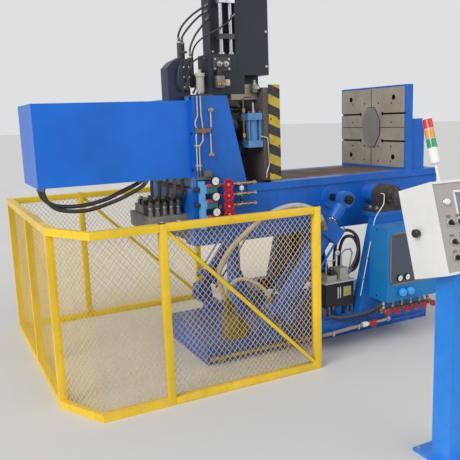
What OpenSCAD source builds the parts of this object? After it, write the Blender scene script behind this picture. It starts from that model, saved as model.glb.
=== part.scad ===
/* [Tilt axis] */
// Height of the tilt axis above the floor
axis_z = 1180; // [1100:5:1200]
// Diameter of the trunnion shafts
shaft_d = 80; // [70:2:110]

/* [Bed] */
// Distance from the tilt axis to the left end of the bed
bed_left = 1590; // [1560:5:1650]
// Distance from the tilt axis to the right end of the bed
bed_right = 750; // [720:5:780]
// Width of the bed across its girders
bed_w = 880; // [840:5:920]
// Height of the bed's upper face above the floor
bed_top = 1340; // [1320:5:1370]
// Height of a bed girder
girder_h = 420; // [380:5:450]
// Thickness of a girder's web
girder_web = 30; // [20:1:40]
// Thickness of a girder's flanges
flange_t = 54; // [40:1:62]
// Width of a girder's flanges
flange_w = 120; // [90:2:150]
// How far the top lip stands out from the girder web
lip_out = 14; // [8:1:20]
// Thickness of the deck plate between the girders
deck_t = 30; // [20:1:40]

/* [Cylinder frame] */
// Distance of the cheek plates' left edges from the tilt axis
cheek_x = 1565; // [1550:5:1580]
// Height of the cheek plates above the bed
cheek_h = 650; // [600:5:700]
// Length of a cheek plate at its top
cheek_top_l = 270; // [240:5:300]
// Length of a cheek plate at its foot
cheek_foot_l = 415; // [380:5:450]
// Thickness of a cheek plate
cheek_t = 60; // [40:2:80]
// Thickness of the platen that carries the clamp cylinder
rear_platen_t = 80; // [60:2:110]

/* [Clamp cylinder and cover] */
// Length of the sheet cover over the clamp cylinder
cover_l = 1080; // [1040:5:1150]
// Height of the cover
cover_h = 540; // [500:5:580]
// Width of the cover
cover_w = 550; // [530:5:570]
// Distance of the cover's front from the machine's centre plane
cover_front = 385; // [375:1:395]
// Thickness of the cover's sheet and flanges
cover_t = 6; // [4:0.5:10]
// Height of the cover's lower edge above the floor
cover_z = 1422; // [1400:2:1450]
// Outer diameter of the clamp cylinder's barrel
clamp_d = 200; // [180:5:210]
// Diameter of the clamp cylinder's rod
clamp_rod_d = 90; // [70:2:110]
// Height of the clamp cylinder's centre line
clamp_z = 1730; // [1715:5:1740]
// Diameter of the four guide rods
guide_d = 50; // [40:1:56]
// Half the spacing of the guide rods across the machine
guide_y = 110; // [100:5:116]
// Half the spacing of the guide rods in height
guide_dz = 165; // [150:5:185]
// Stroke of the moving platen
clamp_stroke = 700; // [600:10:740]

/* [Platens] */
// Height of a platen
platen_h = 680; // [640:5:720]
// Thickness of the moving platen
moving_t = 100; // [90:5:120]
// Thickness of the fixed platen together with its face plate
fixed_t = 80; // [70:2:100]
// Thickness of the slotted face plates
face_t = 40; // [32:1:50]
// Width of the rim that frames a face plate
rim_w = 15; // [10:1:20]
// Distance from the tilt axis to the fixed platen's face
fixed_x = 372; // [360:2:390]
// Distance from the tilt axis to the moving platen's left plane
moving_x = 1000; // [985:5:1010]
// Width of the slots in the face plates
slot_w = 16; // [12:1:24]
// Diameter of the corner bores of the face plates
corner_bore_d = 46; // [36:1:56]

/* [Tilt cylinders] */
// Height of the rod pin above the tilt axis
rod_pin_dz = 0; // [-10:1:20]
// Distance of the rod pin from the tilt axis
rod_pin_x = 393; // [380:1:405]
// Distance of the base pin from the tilt axis
base_pin_x = 1095; // [1080:5:1110]
// Height of the base pin above the floor
base_pin_z = 280; // [272:1:290]
// Distance of a tilt cylinder's centre plane from the machine's centre plane
tilt_y = 620; // [610:1:630]
// Outer diameter of a tilt cylinder's tube
tilt_tube_d = 140; // [120:2:150]
// Diameter of a tilt cylinder's rod
tilt_rod_d = 70; // [56:2:80]
// Width of the square cylinder heads
tilt_head_w = 180; // [165:2:190]

/* [Base and stands] */
// Height of the base frame
base_h = 154; // [140:2:170]
// Distance from the tilt axis to the base's left end
base_left = 1536; // [1500:5:1580]
// Distance from the tilt axis to the base's right end
base_right = 640; // [600:5:680]
// Width of the base frame
base_w = 900; // [880:5:920]
// Height of the beams that carry the stands
beam_h = 116; // [104:2:130]
// Distance of a stand's outer face from the machine's centre plane
stand_face = 725; // [720:1:735]
// Thickness of a bearing stand across the machine
stand_t = 95; // [85:1:110]
// Width of a bearing stand at its foot
stand_foot_w = 690; // [640:5:720]
// Width of a bearing stand at its top
stand_top_w = 330; // [300:5:360]
// Width of a bearing block
block_w = 170; // [160:2:190]
// Height of the bearing block's foot under the axis
block_drop = 120; // [110:1:126]
// Distance of a bearing's inner face from the machine's centre plane
bearing_y = 560; // [556:1:566]
// Length of a bearing block across the machine
bearing_t = 160; // [150:2:165]

/* [Guard fence] */
// Height of the fence
fence_h = 1200; // [1100:10:1300]
// Width of the square fence tubes
post_w = 50; // [40:2:60]
// Distance of the front fence from the machine's centre plane
fence_front_y = 924; // [910:2:940]
// Distance of the rear fence from the machine's centre plane
fence_rear_y = 1260; // [1200:5:1300]
// Distance from the tilt axis to the fence's right posts
fence_right_x = 834; // [820:2:850]
// Distance from the tilt axis to the left fence
fence_left_x = 2660; // [2640:5:2700]

/* [Cabinet and console] */
// Width of the pneumatic cabinet
cabinet_w = 560; // [520:5:600]
// Height of the pneumatic cabinet
cabinet_h = 575; // [540:5:600]
// Depth of the pneumatic cabinet
cabinet_d = 190; // [170:5:210]
// Height of the operator console's box
console_h = 460; // [440:5:480]
// Depth of the operator console's box
console_d = 213; // [200:1:225]
// Width of the operator console's box
console_w = 450; // [430:5:470]
// Lean of the console away from its operator
console_lean = 16.5; // [14:0.5:19]

/* [Core puller] */
// Height of the core puller's column
tower_h = 660; // [620:10:700]
// Width of the column along the machine
tower_w = 275; // [260:5:290]
// Depth of the column across the machine
tower_d = 480; // [440:10:500]
// Diameter of the core puller's guide columns
core_rod_d = 30; // [24:1:34]
// Stroke of the core puller
core_stroke = 200; // [150:5:220]

/* [Hidden] */

$fn = 48;
blue = "royalblue";
light_blue = "dodgerblue";
gap = 0.5;
slide_gap = 0.05;
run_gap = 5;
half_w = bed_w / 2;
bed_bottom = bed_top - girder_h;
platen_z = bed_top + 22;
platen_y = half_w;
rear_face_x = -cheek_x + rear_platen_t;
cover_x = -cheek_x - cover_l;
clamp_len = clamp_stroke + 130;
moving_right = -moving_x + moving_t;
platen_mid_z = platen_z + platen_h / 2;
rod_pin_z = axis_z + rod_pin_dz;
tilt_len = sqrt(pow(base_pin_x - rod_pin_x, 2) + pow(rod_pin_z - base_pin_z, 2));
tilt_angle = atan2(rod_pin_z - base_pin_z, base_pin_x - rod_pin_x);
tilt_head_l = 120;
tilt_top = tilt_len - 225;
tilt_foot = 95;
tilt_bore_start = 170;
tilt_rod_tail = 230;
eye_d = 130;
eye_t = 70;
pin_d = 60;
boss_d = 180;
axle_boss_d = 160;
boss_t = 30;
lug_t = 30;
lug_w = 150;
lug_gap = 3;
lug_web_t = 16;
beam_left = 700;
beam_right = 350;
beam_w = 90;
flange_plate = 14;
hex_depth = 25;
mesh_t = 4;
mesh_y = 36;
stand_top_z = axis_z - block_drop;
stand_foot_z = base_h + beam_h;
bearing_cap_t = 25;
shaft_end = bearing_y + bearing_t + bearing_cap_t + 18;
cabinet_x = -235;
cabinet_y = -stand_face;
cabinet_z = 395;
door_t = 18;
hinge_off = 8;
knuckle_d = 14;
knuckle_h = 60;
elbow = 1.2;
console_x = -1107;
console_y = -2344;
console_z = 1044;
post_x = 95;
console_post_w = 200;
post_t = 120;
manifold_x = -1550;
wheel_x = -1348;
row_y = -half_w - 36;
row_z = 1205;
row_pitch = 77;
slot_dz = 118;
slot_in = 150;
head_z = bed_top + cheek_h;
head_plate_t = 10;
tower_x = -moving_x - 160;
tower_z = platen_z + platen_h + 96;
tower_front = 340;
rod_foot_z = tower_z + 147;
core_y = 320;
core_rods = [-105, -28];

// Rectangular tube lying along X
module tube_x(l, w, h, t) {
    difference() {
        cube([l, w, h]);
        translate([-1, t, t]) cube([l + 2, w - 2 * t, h - 2 * t]);
    }
}

// Channel along X with its back at y = 0 and its flanges towards +Y
module channel_x(l, w, h, t) {
    cube([l, t, h]);
    cube([l, w, t]);
    translate([0, 0, h - t]) cube([l, w, t]);
}

module mirror_rear() { mirror([0, 1, 0]) children(); }

// Bent tube through the given points
module pipe(points, d) {
    for (i = [0:len(points) - 2]) {
        v = points[i + 1] - points[i];
        translate(points[i]) rotate([0, acos(v[2] / norm(v)), atan2(v[1], v[0])]) cylinder(h = norm(v), d = d, $fn = 16);
    }
    for (i = [1:len(points) - 2]) translate(points[i]) sphere(d = elbow * d, $fn = 16);
}

module base_frame() color(blue) {
    l = base_left + base_right;
    t = 12;
    side_w = 90;
    for (side = [0, 1]) mirror([0, side, 0])
        translate([-base_left, -base_w / 2, 0]) channel_x(l, side_w, base_h, t);
    bars_left = [for (i = [0:4]) -base_left + i * (base_left - side_w / 2) / 5];
    bars_right = [for (i = [0:2]) -side_w / 2 + i * (base_right - side_w / 2) / 2];
    for (x = concat(bars_left, bars_right))
        translate([x, -base_w / 2 + t, 0]) cube([side_w, base_w - 2 * t, base_h]);
    translate([-base_left + side_w, -base_w / 2 + t, base_h - t])
        cube([l - 2 * side_w, base_w - 2 * t, t]);
}

module base_outrigger() color(blue) {
    l = beam_left + beam_right;
    arm_in = base_w / 2 - 150;
    for (side = [0, 1]) mirror([0, side, 0]) {
        translate([-beam_left, -stand_face, base_h]) {
            for (z = [0, beam_h - flange_plate]) translate([0, 0, z]) cube([l, beam_w, flange_plate]);
            translate([0, flange_plate, 0]) cube([l, flange_plate, beam_h]);
        }
        for (x = [-beam_left, -stand_foot_w / 2, beam_right - beam_w])
            translate([x, -stand_face + 2 * flange_plate, base_h])
                cube([beam_w, stand_face - 2 * flange_plate - arm_in, beam_h]);
    }
}

module stand() {
    foot = stand_foot_w / 2;
    top = stand_top_w / 2;
    t = 16;
    z0 = stand_foot_z + t;
    z1 = stand_top_z - 30;
    translate([0, -stand_face + stand_t, 0]) rotate([90, 0, 0]) difference() {
        linear_extrude(stand_t) polygon([[-foot, stand_foot_z], [foot, stand_foot_z], [top, z1], [-top, z1]]);
        translate([0, 0, -1]) linear_extrude(stand_t - t + 1) {
            polygon([[-foot + 26, z0], [-t / 2, z0], [-t / 2, z1 - 90], [-top - 6, z1 - 90]]);
            polygon([[foot - 26, z0], [t / 2, z0], [t / 2, z1 - 90], [top + 6, z1 - 90]]);
        }
    }
    translate([-top - 12, -stand_face - 6, z1]) cube([2 * top + 24, stand_face - bearing_y + 6, stand_top_z - z1]);
}
module stand_front() color(blue) stand();
module stand_rear() color(blue) mirror_rear() stand();

module bearing() {
    r = block_w / 2;
    translate([0, -bearing_y, axis_z]) rotate([90, 0, 0]) difference() {
        union() {
            linear_extrude(bearing_t) difference() {
                union() {
                    circle(r = r);
                    translate([-r, -block_drop]) square([2 * r, block_drop]);
                    translate([-2 * r, -block_drop]) square([4 * r, 28]);
                }
                translate([-2 * r, -block_drop - block_w]) square([4 * r, block_w]);
            }
            translate([0, 0, bearing_t]) cylinder(h = bearing_cap_t, r = r - 10);
            translate([0, 0, bearing_t + bearing_cap_t]) cylinder(h = 8, r = r - 24);
        }
        translate([0, 0, -1]) cylinder(h = bearing_t + bearing_cap_t + 12, r = shaft_d / 2 + slide_gap);
    }
}
module bearing_front() color("dimgray") bearing();
module bearing_rear() color("dimgray") mirror_rear() bearing();

module rest_post() color(light_blue) {
    post_d = 120;
    translate([-910, half_w - 120, base_h]) {
        cylinder(h = bed_bottom - base_h - run_gap - 20, d = post_d);
        cylinder(h = 16, d = post_d + 80);
        translate([0, 0, bed_bottom - base_h - run_gap - 20]) cylinder(h = 20, d = post_d + 30);
        translate([post_d / 2 - 10, 8, 16]) rotate([90, 0, 0]) linear_extrude(16)
            polygon([[0, 0], [130, 0], [0, 380]]);
    }
}

module cylinder_lugs() color(blue) {
    web_z = base_pin_z - eye_d / 2 - run_gap - lug_web_t;
    web_y = tilt_y + eye_t / 2 + lug_gap + lug_t;
    foot_y = base_w / 2;
    for (side = [0, 1]) mirror([0, side, 0]) {
        for (s = [-1, 1])
            translate([-base_pin_x, -tilt_y + s * (eye_t / 2 + lug_gap + lug_t / 2) + lug_t / 2, 0]) rotate([90, 0, 0])
                linear_extrude(lug_t) difference() {
                    hull() {
                        translate([0, base_pin_z]) circle(d = eye_d, $fn = 32);
                        translate([-lug_w / 2, web_z]) square([lug_w, lug_web_t]);
                    }
                    translate([0, base_pin_z]) circle(r = pin_d / 2 + slide_gap);
                }
        translate([-base_pin_x - lug_w / 2, -web_y, web_z]) cube([lug_w, web_y - foot_y + 120, lug_web_t]);
        translate([-base_pin_x - lug_w / 2, -foot_y, base_h]) cube([lug_w, 120, web_z - base_h]);
    }
}

module pump_block() color("tan") {
    translate([-base_left + 186, -base_w / 2 + 10, base_h]) {
        cube([90, 110, 200]);
        translate([90, 10, 0]) cube([76, 90, 120]);
        for (x = [22, 66]) translate([x, 55, 200]) cylinder(h = 50, d = 38);
    }
}

module hydraulic_unit() color("dimgray") {
    tank_l = 262;
    tank_h = 195;
    leg_h = 75;
    translate([-stand_foot_w / 2 - tank_l - 12, -stand_face + 45, stand_foot_z]) {
        for (x = [0, tank_l - 50]) translate([x, 10, 0]) difference() {
            cube([50, 180, leg_h]);
            translate([8, -1, 8]) cube([50 - 16, 182, leg_h - 16]);
        }
        translate([0, 0, leg_h]) cube([tank_l, 200, tank_h]);
        translate([-10, -10, leg_h + tank_h]) cube([tank_l + 20, 220, 10]);
        translate([tank_l - 105, 30, leg_h + tank_h + 10]) cube([80, 90, 90]);
        translate([40, 40, leg_h + tank_h + 10]) cube([90, 110, 40]);
        pipe([[tank_l - 65, 70, leg_h + tank_h + 100], [tank_l - 65, 70, leg_h + tank_h + 205],
            [tank_l - 30, 70, leg_h + tank_h + 235], [tank_l + 25, 70, leg_h + tank_h + 235],
            [tank_l + 40, 70, leg_h + tank_h + 200], [tank_l - 5, 70, leg_h + tank_h + 10]], 12);
    }
}

module cabinet() color("steelblue") {
    t = 10;
    translate([cabinet_x, cabinet_y - cabinet_d, cabinet_z]) {
        difference() {
            cube([cabinet_w, cabinet_d, cabinet_h]);
            translate([t, -1, t]) cube([cabinet_w - 2 * t, cabinet_d + 1 - t, cabinet_h - 2 * t]);
        }
        for (z = [90, cabinet_h - 90 - knuckle_h]) translate([cabinet_w, 0, z]) {
            cube([hinge_off, 40, knuckle_h]);
            translate([0, -gap - door_t / 2, 0]) {
                translate([1, 0, 0]) cube([hinge_off - 1, door_t / 2 + gap, knuckle_h]);
                translate([hinge_off, 0, 0]) cylinder(h = knuckle_h, d = knuckle_d);
            }
        }
    }
}

module window_outline(w, h, r) {
    for (x = [r, w - r], z = [r, h - r]) translate([x, z]) circle(r = r);
    translate([r, 0]) square([w - 2 * r, h]);
    translate([0, r]) square([w, h - 2 * r]);
}

module cabinet_door() color("steelblue") {
    glass_z = 130;
    glass_h = cabinet_h - glass_z - 40;
    glass_w = cabinet_w - 40;
    translate([cabinet_x, cabinet_y - cabinet_d - gap - door_t, cabinet_z]) {
        difference() {
            cube([cabinet_w, door_t, cabinet_h]);
            translate([20, door_t + 1, glass_z]) rotate([90, 0, 0]) linear_extrude(door_t + 2)
                window_outline(glass_w, glass_h, 45);
        }
        translate([20 - 2, door_t / 2 + 3, glass_z - 2]) rotate([90, 0, 0]) linear_extrude(6)
            window_outline(glass_w + 4, glass_h + 4, 47);
        for (z = [90 + knuckle_h + 1, cabinet_h - 90 - 2 * knuckle_h - 1])
            translate([cabinet_w, door_t / 2, z]) {
                translate([-0.5, -4, 0]) cube([hinge_off, 8, knuckle_h]);
                translate([hinge_off, 0, 0]) cylinder(h = knuckle_h, d = knuckle_d);
            }
    }
}

module cabinet_valves() color("brown") {
    pitch = (cabinet_w - 100) / 5;
    translate([cabinet_x + 20, cabinet_y - 110, cabinet_z - 95]) {
        rotate([0, 90, 0]) cylinder(h = cabinet_w - 40, d = 36);
        for (i = [0:5]) translate([30 + i * pitch, 0, 0]) {
            cylinder(h = 95, d = 22);
            translate([0, -50, 0]) rotate([90, 0, 0]) cylinder(h = 14, d = 46);
            rotate([90, 0, 0]) cylinder(h = 52, d = 14);
        }
    }
}

module console_place() {
    translate([console_x, console_y, console_z]) rotate([-console_lean, 0, 0]) children();
}

module console_box() color("ivory") console_place() {
    cube([console_w, console_d, console_h]);
    translate([0, -14, 0]) difference() {
        cube([console_w, 14, console_h]);
        translate([12, -1, 12]) cube([console_w - 24, 16, console_h - 24]);
    }
}

module console_panel() color("silver") console_place() {
    screen_z = 220;
    translate([12, -8, 12]) difference() {
        cube([console_w - 24, 8, console_h - 24]);
        translate([130, -1, screen_z]) cube([230, 5, 180]);
    }
}

module console_stand() color("dodgerblue") {
    translate([console_x + post_x, console_y + 35, 0]) {
        translate([-50, -90, 0]) cube([console_post_w + 100, post_t + 180, 16]);
        difference() {
            cube([console_post_w, post_t, console_z]);
            translate([-1, -35, console_z]) rotate([-console_lean, 0, 0])
                translate([0, -console_d, 0]) cube([console_post_w + 2, 3 * console_d, console_h]);
        }
    }
}

module signal_tower() color("crimson") console_place() translate([130, 55, console_h]) {
    lamp_d = 50;
    cylinder(h = 8, d = 40);
    cylinder(h = 110, d = 14);
    translate([0, 0, 100]) cylinder(h = 80, d = lamp_d);
    for (i = [0:2]) translate([0, 0, 180 + i * 50]) {
        cylinder(h = 4, d = lamp_d - 4);
        translate([0, 0, 4]) cylinder(h = 46, d = lamp_d);
    }
    translate([0, 0, 330]) cylinder(h = 14, d1 = lamp_d, d2 = lamp_d - 16);
}

module fence_bay(l, brace = false) {
    for (x = [0, l - post_w]) translate([x, 0, 0]) cube([post_w, post_w, fence_h]);
    for (z = [0, fence_h - post_w]) translate([post_w, 0, z]) cube([l - 2 * post_w, post_w, post_w]);
    if (brace) translate([0, 4, 0]) rotate([90, 0, 0]) mirror([0, 0, 1]) linear_extrude(28)
        polygon([[post_w, fence_h - post_w - 60], [post_w, fence_h - post_w], [post_w + 20, fence_h - post_w],
            [l - post_w, post_w + 60], [l - post_w, post_w], [l - post_w - 20, post_w]]);
}

fence_mid_x = 2030;
fence_bend_x = 2465;
fence_corner_y = 574;
fence_left_y = 250;

module fence_front_frame() color("gold") {
    translate([-fence_mid_x, -fence_front_y, 0]) fence_bay(fence_mid_x - fence_right_x, true);
}

module fence_corner_frame() color("gold") {
    for (z = [0, fence_h - post_w]) translate([-fence_bend_x, -fence_front_y, z])
        cube([fence_bend_x - fence_mid_x, post_w, post_w]);
    for (z = [0, fence_h - post_w]) translate([0, 0, z]) linear_extrude(post_w)
        polygon([[-fence_bend_x, -fence_front_y], [-fence_bend_x, -fence_front_y + post_w],
            [-fence_left_x + post_w, -fence_corner_y], [-fence_left_x, -fence_corner_y]]);
}

module fence_left_frame() color("gold") {
    for (y = [-fence_corner_y, fence_left_y, fence_rear_y - post_w])
        translate([-fence_left_x, y, 0]) cube([post_w, post_w, fence_h]);
    for (z = [0, fence_h - post_w]) translate([-fence_left_x, -fence_corner_y + post_w, z])
        cube([post_w, fence_rear_y + fence_corner_y - 2 * post_w, post_w]);
}

module fence_rear_frame() color("gold") {
    translate([-fence_left_x + post_w, fence_rear_y - post_w, 0]) fence_bay(900);
    translate([-fence_left_x + post_w + 900, fence_rear_y - post_w, 0])
        fence_bay(fence_left_x - post_w - 900 - fence_right_x, true);
}

module mesh_sheet(l) {
    translate([post_w, mesh_y, post_w]) cube([l - 2 * post_w, mesh_t, fence_h - 2 * post_w]);
}
module fence_front_mesh() color("khaki")
    translate([-fence_mid_x, -fence_front_y, 0]) mesh_sheet(fence_mid_x - fence_right_x);
module fence_corner_mesh() color("khaki") {
    y = -fence_front_y + mesh_y;
    translate([0, 0, post_w]) linear_extrude(fence_h - 2 * post_w)
        polygon([[-fence_mid_x, y], [-fence_mid_x, y + mesh_t], [-fence_bend_x + 8, y + mesh_t],
            [-fence_left_x + post_w - 16, -fence_corner_y], [-fence_left_x + post_w - 22, -fence_corner_y],
            [-fence_bend_x + 6, y]]);
}
module fence_left_mesh() color("khaki")
    for (y = [-fence_corner_y, fence_left_y])
        translate([-fence_left_x + 18, y + post_w, post_w])
            cube([mesh_t, (y < 0 ? fence_left_y : fence_rear_y - post_w) - y - post_w, fence_h - 2 * post_w]);
module fence_rear_mesh() color("khaki") {
    translate([-fence_left_x + post_w, fence_rear_y - post_w, 0]) mesh_sheet(900);
    translate([-fence_left_x + post_w + 900, fence_rear_y - post_w, 0])
        mesh_sheet(fence_left_x - post_w - 900 - fence_right_x);
}

module girder() {
    l = bed_left + bed_right;
    end_w = 174;
    lip_x = bed_left - cheek_x + cheek_foot_l;
    translate([-bed_left, -half_w, bed_bottom]) {
        translate([0, lip_out, 0]) cube([l, girder_web, girder_h]);
        translate([0, lip_out, 0]) cube([l, flange_w - lip_out, 24]);
        translate([lip_x, 0, girder_h - flange_t]) cube([l - lip_x, flange_w, flange_t]);
        translate([0, lip_out, girder_h - flange_t]) cube([lip_x, flange_w - lip_out, flange_t]);
        translate([0, lip_out, 0]) cube([16, end_w - lip_out, girder_h - deck_t]);
        for (x = [lip_x, bed_left + 120, l - 60])
            translate([x, lip_out, 24]) cube([16, flange_w - lip_out, girder_h - flange_t - 24]);
    }
    translate([-rod_pin_x, -half_w + lip_out, rod_pin_z]) rotate([90, 0, 0]) cylinder(h = boss_t, d = boss_d);
    translate([0, -half_w + lip_out, axis_z]) rotate([90, 0, 0])
        cylinder(h = bearing_y - half_w + lip_out - run_gap, d = axle_boss_d);
}
module bed_girder_front() color(blue) girder();
module bed_girder_rear() color(blue) mirror_rear() girder();

module bed_deck() color("sienna") {
    y = half_w - flange_w;
    translate([-bed_left, -y, bed_top - deck_t]) cube([bed_left + bed_right, 2 * y, deck_t]);
}

module bed_crossbeams() color(blue) {
    y = half_w - lip_out - girder_web;
    beam_y = half_w - 174;
    translate([-bed_left, -beam_y, bed_bottom + 24]) cube([24, 2 * beam_y, girder_h - 24 - deck_t]);
    for (x = [-1100, -600, -140, bed_right - 30])
        translate([x, -y, bed_bottom + 24]) cube([30, 2 * y, girder_h - 24 - flange_t]);
}

module trunnions() color("gray") {
    in = bearing_y - run_gap;
    for (side = [0, 1]) mirror([0, side, 0]) translate([0, -in, axis_z]) rotate([90, 0, 0])
        cylinder(h = shaft_end - in, d = shaft_d);
}

module cheek() {
    translate([-cheek_x, -half_w + cheek_t, bed_top]) rotate([90, 0, 0]) linear_extrude(cheek_t)
        polygon([[0, 0], [cheek_foot_l, 0], [cheek_top_l, cheek_h], [0, cheek_h]]);
}
module cheek_front() color(blue) cheek();
module cheek_rear() color(blue) mirror_rear() cheek();

module rear_platen() color(light_blue) {
    y = half_w - cheek_t;
    difference() {
        translate([-cheek_x, -y, bed_top]) cube([rear_platen_t, 2 * y, cheek_h]);
        for (sy = [-1, 1], sz = [-1, 1]) translate([-cheek_x - 1, sy * guide_y, clamp_z + sz * guide_dz])
            rotate([0, 90, 0]) cylinder(h = rear_platen_t + 2, r = guide_d / 2 + slide_gap);
        translate([-cheek_x - 1, 0, clamp_z]) rotate([0, 90, 0])
            cylinder(h = rear_platen_t + 2, r = clamp_rod_d / 2 + slide_gap);
    }
}

module cylinder_cover() color(light_blue) {
    translate([cover_x, -cover_front, cover_z]) difference() {
        cube([cover_l, cover_w, cover_h]);
        translate([cover_t, cover_t, -1]) cube([cover_l, cover_w - 2 * cover_t, cover_h - cover_t + 1]);
    }
}

module clamp_barrel() color("slategray") {
    translate([-cheek_x, 0, clamp_z]) rotate([0, -90, 0]) difference() {
        union() {
            cylinder(h = clamp_len, d = clamp_d);
            cylinder(h = 40, d = clamp_d + 80);
            translate([0, 0, clamp_len - 60]) cylinder(h = 60, d = clamp_d + 30);
        }
        translate([0, 0, -1]) cylinder(h = clamp_len - 40, r = clamp_rod_d / 2 + slide_gap);
    }
}

module slot_cuts(w, depth) {
    for (sy = [-1, 1], sz = [-1, 1]) {
        translate([-1, (sy < 0 ? -w / 2 - 1 : slot_in), platen_h / 2 + sz * slot_dz - slot_w / 2])
            cube([depth + 1, w / 2 - slot_in + 1, slot_w]);
        translate([-1, sy * slot_in, platen_h / 2 + sz * slot_dz]) rotate([0, 90, 0])
            cylinder(h = depth + 1, d = slot_w + 16);
    }
}

module fixed_platen() color(blue) {
    rim_back = 6;
    translate([fixed_x, 0, platen_z]) difference() {
        translate([rim_back, -platen_y, bed_top - platen_z])
            cube([fixed_t - rim_back, 2 * platen_y, platen_h + rim_w + platen_z - bed_top]);
        translate([-1, -platen_y + rim_w, 0]) cube([face_t + 1, 2 * (platen_y - rim_w), platen_h]);
        slot_cuts(2 * platen_y, face_t / 2);
    }
}

module slotted_face() {
    w = 2 * (platen_y - rim_w);
    bolt_d = 16;
    difference() {
        translate([0, -w / 2, 0]) cube([face_t, w, platen_h]);
        for (sy = [-1, 1], sz = [-1, 1])
            translate([-1, sy * (half_w - 150), platen_h / 2 + sz * 255]) rotate([0, 90, 0])
                cylinder(h = face_t + 2, d = corner_bore_d);
        slot_cuts(w, face_t / 2);
        for (sy = [-1, 1], z = [46, 173, 383, 547])
            translate([-1, sy * 262, z]) rotate([0, 90, 0]) cylinder(h = 21, d = bolt_d, $fn = 24);
        for (sy = [-1, 1], z = [46, 173, 551])
            translate([-1, sy * 95, z]) rotate([0, 90, 0]) cylinder(h = 21, d = bolt_d, $fn = 24);
        translate([-1, -4, -1]) cube([9, 8, platen_h + 2]);
        translate([-1, -w / 2 - 1, platen_h / 2 - 3]) cube([7, w + 2, 6]);
        translate([-1, 0, platen_h / 2]) rotate([0, 90, 0]) linear_extrude(hex_depth + 1) hex_outline(0);
    }
}

module hex_outline(off) {
    h = 175 - off;
    w = 118 - off;
    polygon([[-h, -w * 0.42], [-h, w * 0.42], [-h * 0.35, w], [h * 0.35, w], [h, w * 0.42],
        [h, -w * 0.42], [h * 0.35, -w], [-h * 0.35, -w]]);
}

module fixed_face() color("tan") translate([fixed_x, 0, platen_z]) slotted_face();
module moving_face() color("tan") translate([moving_right + face_t, 0, platen_z]) mirror([1, 0, 0]) slotted_face();

module hex_insert() color("gray") translate([fixed_x - 6, 0, platen_mid_z])
    rotate([0, 90, 0]) linear_extrude(hex_depth + 6) hex_outline(2);

module platen_buttress() color(blue) {
    rib_t = 36;
    rib_l = 155;
    rib_h = 430;
    for (y = [-platen_y + 24, -rib_t / 2, platen_y - 24 - rib_t])
        translate([fixed_x + fixed_t, y + rib_t, bed_top]) rotate([90, 0, 0]) linear_extrude(rib_t)
            polygon([[0, 0], [rib_l, 0], [rib_l, rib_h - 12], [rib_l - 12, rib_h], [0, rib_h]]);
    translate([fixed_x + fixed_t, -platen_y + 24, bed_top]) cube([rib_l, 2 * (platen_y - 24), 30]);
}

module water_manifold() color("teal") {
    reg_x = manifold_x + 34;
    reg_d = 62;
    translate([manifold_x, -half_w - 46, bed_bottom + 130]) cube([34, 46, 345]);
    for (i = [0:2]) {
        z = row_z + i * row_pitch;
        reg_z = 1086 + i * 111;
        translate([reg_x, -half_w - reg_d, reg_z]) {
            cube([88, reg_d, 60]);
            translate([6, -12, 50]) cube([56, 40, 14]);
            translate([54, -6, 60]) cube([14, 20, 30]);
            translate([61, -6, 88]) rotate([90, 0, 0]) cylinder(h = 24, d = 60, $fn = 32);
        }
        pipe([[reg_x + 86, row_y, reg_z + 30], [reg_x + 116, row_y, z], [wheel_x, row_y, z], [-1104, row_y, z]], 16);
        translate([wheel_x - 14, row_y - 14, z - 14]) cube([28, 28, 28]);
        for (x = [-1310, -1270, -1180, -1130])
            translate([x, row_y, z]) rotate([0, 90, 0]) cylinder(h = 22, d = 26, $fn = 6);
    }
    translate([-1219, row_y, row_z]) cylinder(h = 2 * row_pitch, d = 14);
}

module manifold_wheels() color("firebrick") {
    low_z = row_z - 59;
    for (z = [low_z, row_z, row_z + row_pitch, row_z + 2 * row_pitch])
        translate([wheel_x, row_y - 14, z]) rotate([90, 0, 0]) difference() {
            union() {
                cylinder(h = 34, d = 20);
                translate([0, 0, 20]) cylinder(h = 14, d = 76);
            }
            for (a = [0:60:300]) rotate(a) translate([24, 0, 28]) cylinder(h = 10, d = 14, $fn = 16);
        }
    translate([wheel_x - 16, row_y - 14, low_z - 16]) cube([32, lip_out - row_y - half_w + 14, 32]);
}

module lube_tubes() color("silver") {
    y = -half_w - 12;
    mid_z = bed_top + 409;
    for (side = [0, 1]) {
        top = side == 0 ? [[-1535, y, head_z], [-1535, y, 1855], [-1555, y, 1810], [-1555, y, 1785], [-1540, y, mid_z]]
            : [[-1509, y, head_z], [-1509, y, 1860], [-1501, y, 1800], [-1501, y, mid_z]];
        low = side == 0 ? [[-1540, y, mid_z], [-1553, y, 1715], [-1553, y, 1425]]
            : [[-1501, y, mid_z], [-1501, y, 1680], [-1532, y, 1640], [-1532, y, 1425]];
        pipe(top, 10);
        pipe(low, 10);
    }
    pipe([[-1450, y, mid_z], [-1434, y, 1770], [-1434, y, 1880]], 10);
    pipe([[-1450, y, mid_z], [-1440, y, 1715], [-1440, y, 1585]], 10);
    for (p = [[-1434, 1890], [-1440, 1577]]) translate([p[0], -half_w, p[1]]) rotate([90, 0, 0]) cylinder(h = 22, d = 26);
    translate([-1551, -half_w - 20, mid_z - 14]) cube([111, 20, 28]);
    translate([-1515, -half_w - 26, mid_z - 20]) cube([30, 26, 40]);
    for (z = [1640, 1500]) translate([-1562, -half_w - 18, z]) cube([40, 18, 12]);
    translate([-1505, -half_w - 34, 1425]) cube([52, 34, 42]);
    translate([-1560, -half_w - 24, 1405]) cube([110, 24, 20]);
    translate([-1436, -300, head_z + head_plate_t]) {
        cylinder(h = 150, d = 60);
        translate([0, 0, 130]) cylinder(h = 24, d = 72);
        translate([0, 0, 154]) cylinder(h = 26, d = 20);
    }
}

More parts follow.
